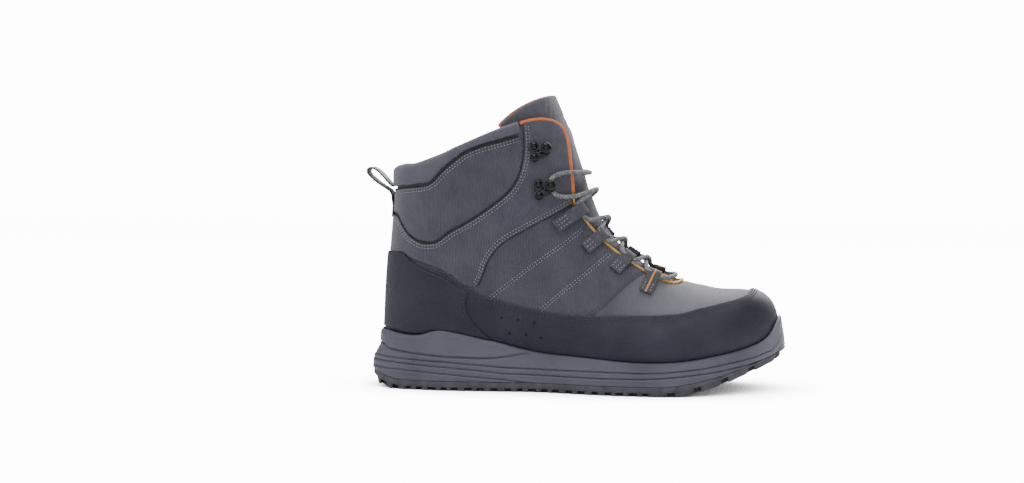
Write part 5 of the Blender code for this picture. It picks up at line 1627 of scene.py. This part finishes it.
# Drain holes of one side: row, rise. Then the rings of each: radius, height over the rand
# in millimetres.
DRAIN_HOLES = [(8.55, 0.294), (8.94, 0.298), (9.32, 0.302), (9.04, 0.198), (9.38, 0.209),
               (9.72, 0.206)]
HOLE_RINGS = [(1.15, -0.3), (1.1, 0.12), (0.9, 0.10), (0.7, 0.03)]


def make_drain_holes():
    """Six drain holes on each side of the rand: shallow dark cups with a soft rim."""
    points, faces = [], []
    for row, rise in DRAIN_HOLES:
        for side in (1, -1):
            place = np.array([row]), np.array([float(angle(rise)) * side])
            along, _, normal = (part[0] for part in tangents(*place))
            middle = surface(*place, RAND_FACE)[0]
            first = along / np.linalg.norm(along)
            second = np.cross(normal, first)
            start = len(points)
            for radius, high in HOLE_RINGS:
                for a in turns(16):
                    points.append(middle + radius * MM * (first * cos(a) + second * sin(a))
                                  + normal * high * MM)
            faces += tube_faces(len(HOLE_RINGS), 16, start)
    own(add_mesh("drain_holes", points, faces, [FINISHES["hole"]]))


# Area lights: name, place, size in metres, power in watts, colour.
LIGHTS = [
    ("top light", (0.15, -0.35, 1.7), 1.5, 32, (1.0, 0.98, 0.98)),
    ("front light", (0.9, -1.9, 0.7), 1.2, 10, (1.0, 0.97, 1.0)),
    ("heel light", (-1.5, -0.6, 0.9), 1.0, 9, (1.0, 0.97, 1.0)),
    ("back light", (0.5, 1.3, 1.1), 1.2, 52, (1.0, 0.99, 1.0)),
]
LIGHT_TARGET = Vector((0.11, 0, 0.1))
CAMERA_TARGET = Vector((0.0585, 0, 0.1125))
# Side view of the sweep: its distance behind the shoe and its height.
SWEEP = [(-3.0, 0.0), (1.2, 0.0), (1.9, 0.08), (2.35, 0.45), (2.5, 1.1), (2.5, 4.0)]
SWEEP_STEPS = 60


def aimed(name, data, place, direction):
    """A light or camera of the scene that looks along a direction."""
    made = bpy.data.objects.new(name, data)
    made.location = place
    made.rotation_mode = "QUATERNION"
    made.rotation_quaternion = direction.to_track_quat("-Z", "Y")
    bpy.context.scene.collection.objects.link(made)
    return made


def paper_sweep():
    """Near-white paper that glows for the camera, but not where the shoe shadows it."""
    made, tree, shader, _ = new_finish("paper sweep", "#eceef1", 0.9)
    # Painted shadow: the paper's glow drops where ambient occlusion finds the shoe close.
    closeness = add_node(tree, "ShaderNodeAmbientOcclusion", {"Distance": 0.06}, samples=8)
    open_share = add_node(tree, "ShaderNodeMapRange", {"Value": closeness.outputs["AO"],
                                                       "From Min": 0.04, "From Max": 0.92})
    eased = add_node(tree, "ShaderNodeMath", {0: open_share.outputs["Result"], 1: 1.7},
                     operation="POWER")
    glow = add_node(tree, "ShaderNodeMath", {0: eased.outputs["Value"], 1: 14.0, 2: 0.03},
                    operation="MULTIPLY_ADD")
    paper = add_node(tree, "ShaderNodeEmission", {"Strength": glow.outputs["Value"]})
    seen = add_node(tree, "ShaderNodeLightPath")
    both = add_node(tree, "ShaderNodeMixShader", {0: seen.outputs["Is Camera Ray"],
                                                  1: shader.outputs["BSDF"],
                                                  2: paper.outputs["Emission"]})
    tree.links.new(both.outputs["Shader"], tree.nodes["Material Output"].inputs["Surface"])
    profile = Spline(SWEEP)(np.linspace(0, len(SWEEP) - 1, SWEEP_STEPS))
    profile[:, 1] = np.maximum(profile[:, 1], 0)
    points = [(x, y, z) for x in (-4.0, 4.0) for y, z in profile]
    faces = [(i, i + 1, SWEEP_STEPS + 1 + i, SWEEP_STEPS + i) for i in range(SWEEP_STEPS - 1)]
    mesh = bpy.data.meshes.new("sweep")
    mesh.from_pydata(points, [], faces)
    mesh.materials.append(made)
    mesh.shade_smooth()
    floor = bpy.data.objects.new("sweep", mesh)
    bpy.context.scene.collection.objects.link(floor)
    floor.location.z = -0.5 * MM
    return floor


def white_room():
    """World that lights softly and shows white to the camera."""
    world = bpy.data.worlds.new("white room")
    world.use_nodes = True
    sky = world.node_tree
    dim = sky.nodes["Background"]
    dim.inputs["Color"].default_value = (0.98, 0.95, 1.0, 1)
    dim.inputs["Strength"].default_value = 0.36
    white = add_node(sky, "ShaderNodeBackground", {"Strength": 14.0})
    ray = add_node(sky, "ShaderNodeLightPath")
    room = add_node(sky, "ShaderNodeMixShader", {0: ray.outputs["Is Camera Ray"],
                                                 1: dim.outputs["Background"],
                                                 2: white.outputs["Background"]})
    sky.links.new(room.outputs["Shader"], sky.nodes["World Output"].inputs["Surface"])
    return world


def make_stage():
    """Near-white floor and sweep, soft lights all round, and the camera."""
    scene = bpy.context.scene
    looks = scene.boot_looks
    staged = [paper_sweep()]
    for name, place, size, power, colour in LIGHTS:
        data = bpy.data.lights.new(name, "AREA")
        data.shape = "SQUARE"
        data.size = size
        data.energy = power
        data.color = colour
        staged.append(aimed(name, data, place, LIGHT_TARGET - Vector(place)))
    scene.world = white_room()
    yaw, rise = looks.view_yaw, looks.view_rise
    back = Vector((sin(yaw) * cos(rise), -cos(yaw) * cos(rise), sin(rise)))
    data = bpy.data.cameras.new("camera")
    data.sensor_width = 36
    data.lens = 1948 / 1024 * data.sensor_width
    scene.camera = aimed("camera", data, CAMERA_TARGET + back * looks.view_distance, -back)


class BootLooks(bpy.types.PropertyGroup):
    """Values that the panel offers."""
    crease_depth: FloatProperty(name="Crease depth", default=1.3, min=0.0, max=2.0,
                                description="How deep the soft creases are, as a multiple")
    mesh_spacing: FloatProperty(name="Mesh spacing", default=0.0024, min=0.0015, max=0.008,
                                subtype="DISTANCE", unit="LENGTH",
                                description="Distance between the columns of a panel")
    stitch_pitch: FloatProperty(name="Stitch pitch", default=0.0024, min=0.0018, max=0.006,
                                subtype="DISTANCE", unit="LENGTH",
                                description="Distance from one stitch to the next")
    lace_diameter: FloatProperty(name="Lace diameter", default=0.0034, min=0.002, max=0.006,
                                 subtype="DISTANCE", unit="LENGTH",
                                 description="Thickness of the round lace")
    view_yaw: FloatProperty(name="View yaw", default=radians(9), subtype="ANGLE", unit="ROTATION",
                            description="How far the camera stands towards the toe")
    view_rise: FloatProperty(name="View rise", default=radians(3.2), subtype="ANGLE",
                             unit="ROTATION", description="How far the camera looks down")
    view_distance: FloatProperty(name="View distance", default=1.5, min=0.5, max=5.0,
                                 subtype="DISTANCE", unit="LENGTH",
                                 description="How far the camera is from the shoe")


def operator(name, label, note, action):
    """An operator class that makes one piece or group, or raises if it can't."""
    def execute(self, context):
        if not FINISHES:
            make_finishes()
        action()
        return {"FINISHED"}

    return type(f"BOOT_OT_{name}", (bpy.types.Operator,),
                {"bl_idname": f"boot.{name}", "bl_label": label, "__doc__": note,
                 "bl_options": {"REGISTER", "UNDO"}, "execute": execute})


OPERATORS = [
    operator("outsole", "Outsole", "Rubber plate with lugs", make_outsole),
    operator("midsole", "Midsole", "Foam cup with its moulded lines", make_midsole),
    operator("insole", "Insole", "Footbed", make_insole),
    operator("upper", "Upper", "Hollow textile shell", make_upper),
    operator("side_panels", "Side panels", "Overlays on both sides", make_side_panels),
    operator("rand", "Rand", "Mudguard with the toe cap", make_rand),
    operator("drain_holes", "Drain holes", "Holes in the rand", make_drain_holes),
    operator("counter", "Heel counter", "Stiffener cover", make_counter),
    operator("quarter", "Quarter", "Quarter with its flaps", make_quarter),
    operator("ankle_panel", "Ankle panel", "Panel round the ankle", make_ankle_panel),
    operator("cuff", "Cuff", "Padded stretch collar", make_cuff),
    operator("tongue", "Tongue", "Padded tongue with its binding", make_tongue),
    # The seam shadows are painted dark strips.
    operator("trim", "Trim", "Flap tape, seam folds and throat piping", make_trim),
    operator("loops", "Lace loops", "Webbing loops", make_loops),
    operator("hooks", "Speed hooks", "Hooks with their rivets", make_hooks),
    operator("lace", "Lace", "The round lace", make_lace),
    operator("pull_loop", "Pull loop", "Webbing loop at the heel", make_pull_loop),
    operator("stitching", "Stitching", "Rows of thread", make_stitching),
    operator("stage", "Stage", "Floor, lights and camera", make_stage),
]


class BOOT_PT_panel(bpy.types.Panel):
    """Boot panel in the sidebar."""
    bl_label = "Wading boot"
    bl_idname = "BOOT_PT_panel"
    bl_space_type = "VIEW_3D"
    bl_region_type = "UI"
    bl_category = "Boot"

    def draw(self, context):
        looks = context.scene.boot_looks
        for key in ("crease_depth", "mesh_spacing", "stitch_pitch", "lace_diameter", "view_yaw",
                    "view_rise", "view_distance"):
            self.layout.prop(looks, key)
        for made in OPERATORS:
            self.layout.operator(made.bl_idname)


CLASSES = [BootLooks, *OPERATORS, BOOT_PT_panel]


def register():
    """Registers the classes and the scene's values."""
    for made in CLASSES:
        bpy.utils.register_class(made)
    bpy.types.Scene.boot_looks = PointerProperty(type=BootLooks)


def unregister():
    """Takes the classes and the values away again."""
    del bpy.types.Scene.boot_looks
    for made in reversed(CLASSES):
        bpy.utils.unregister_class(made)


def main():
    """Makes every piece through its operator and writes the sizes of both models."""
    register()
    make_finishes()
    for made in OPERATORS:
        group, name = made.bl_idname.split(".")
        getattr(getattr(bpy.ops, group), name)()


if __name__ == "__main__":
    main()
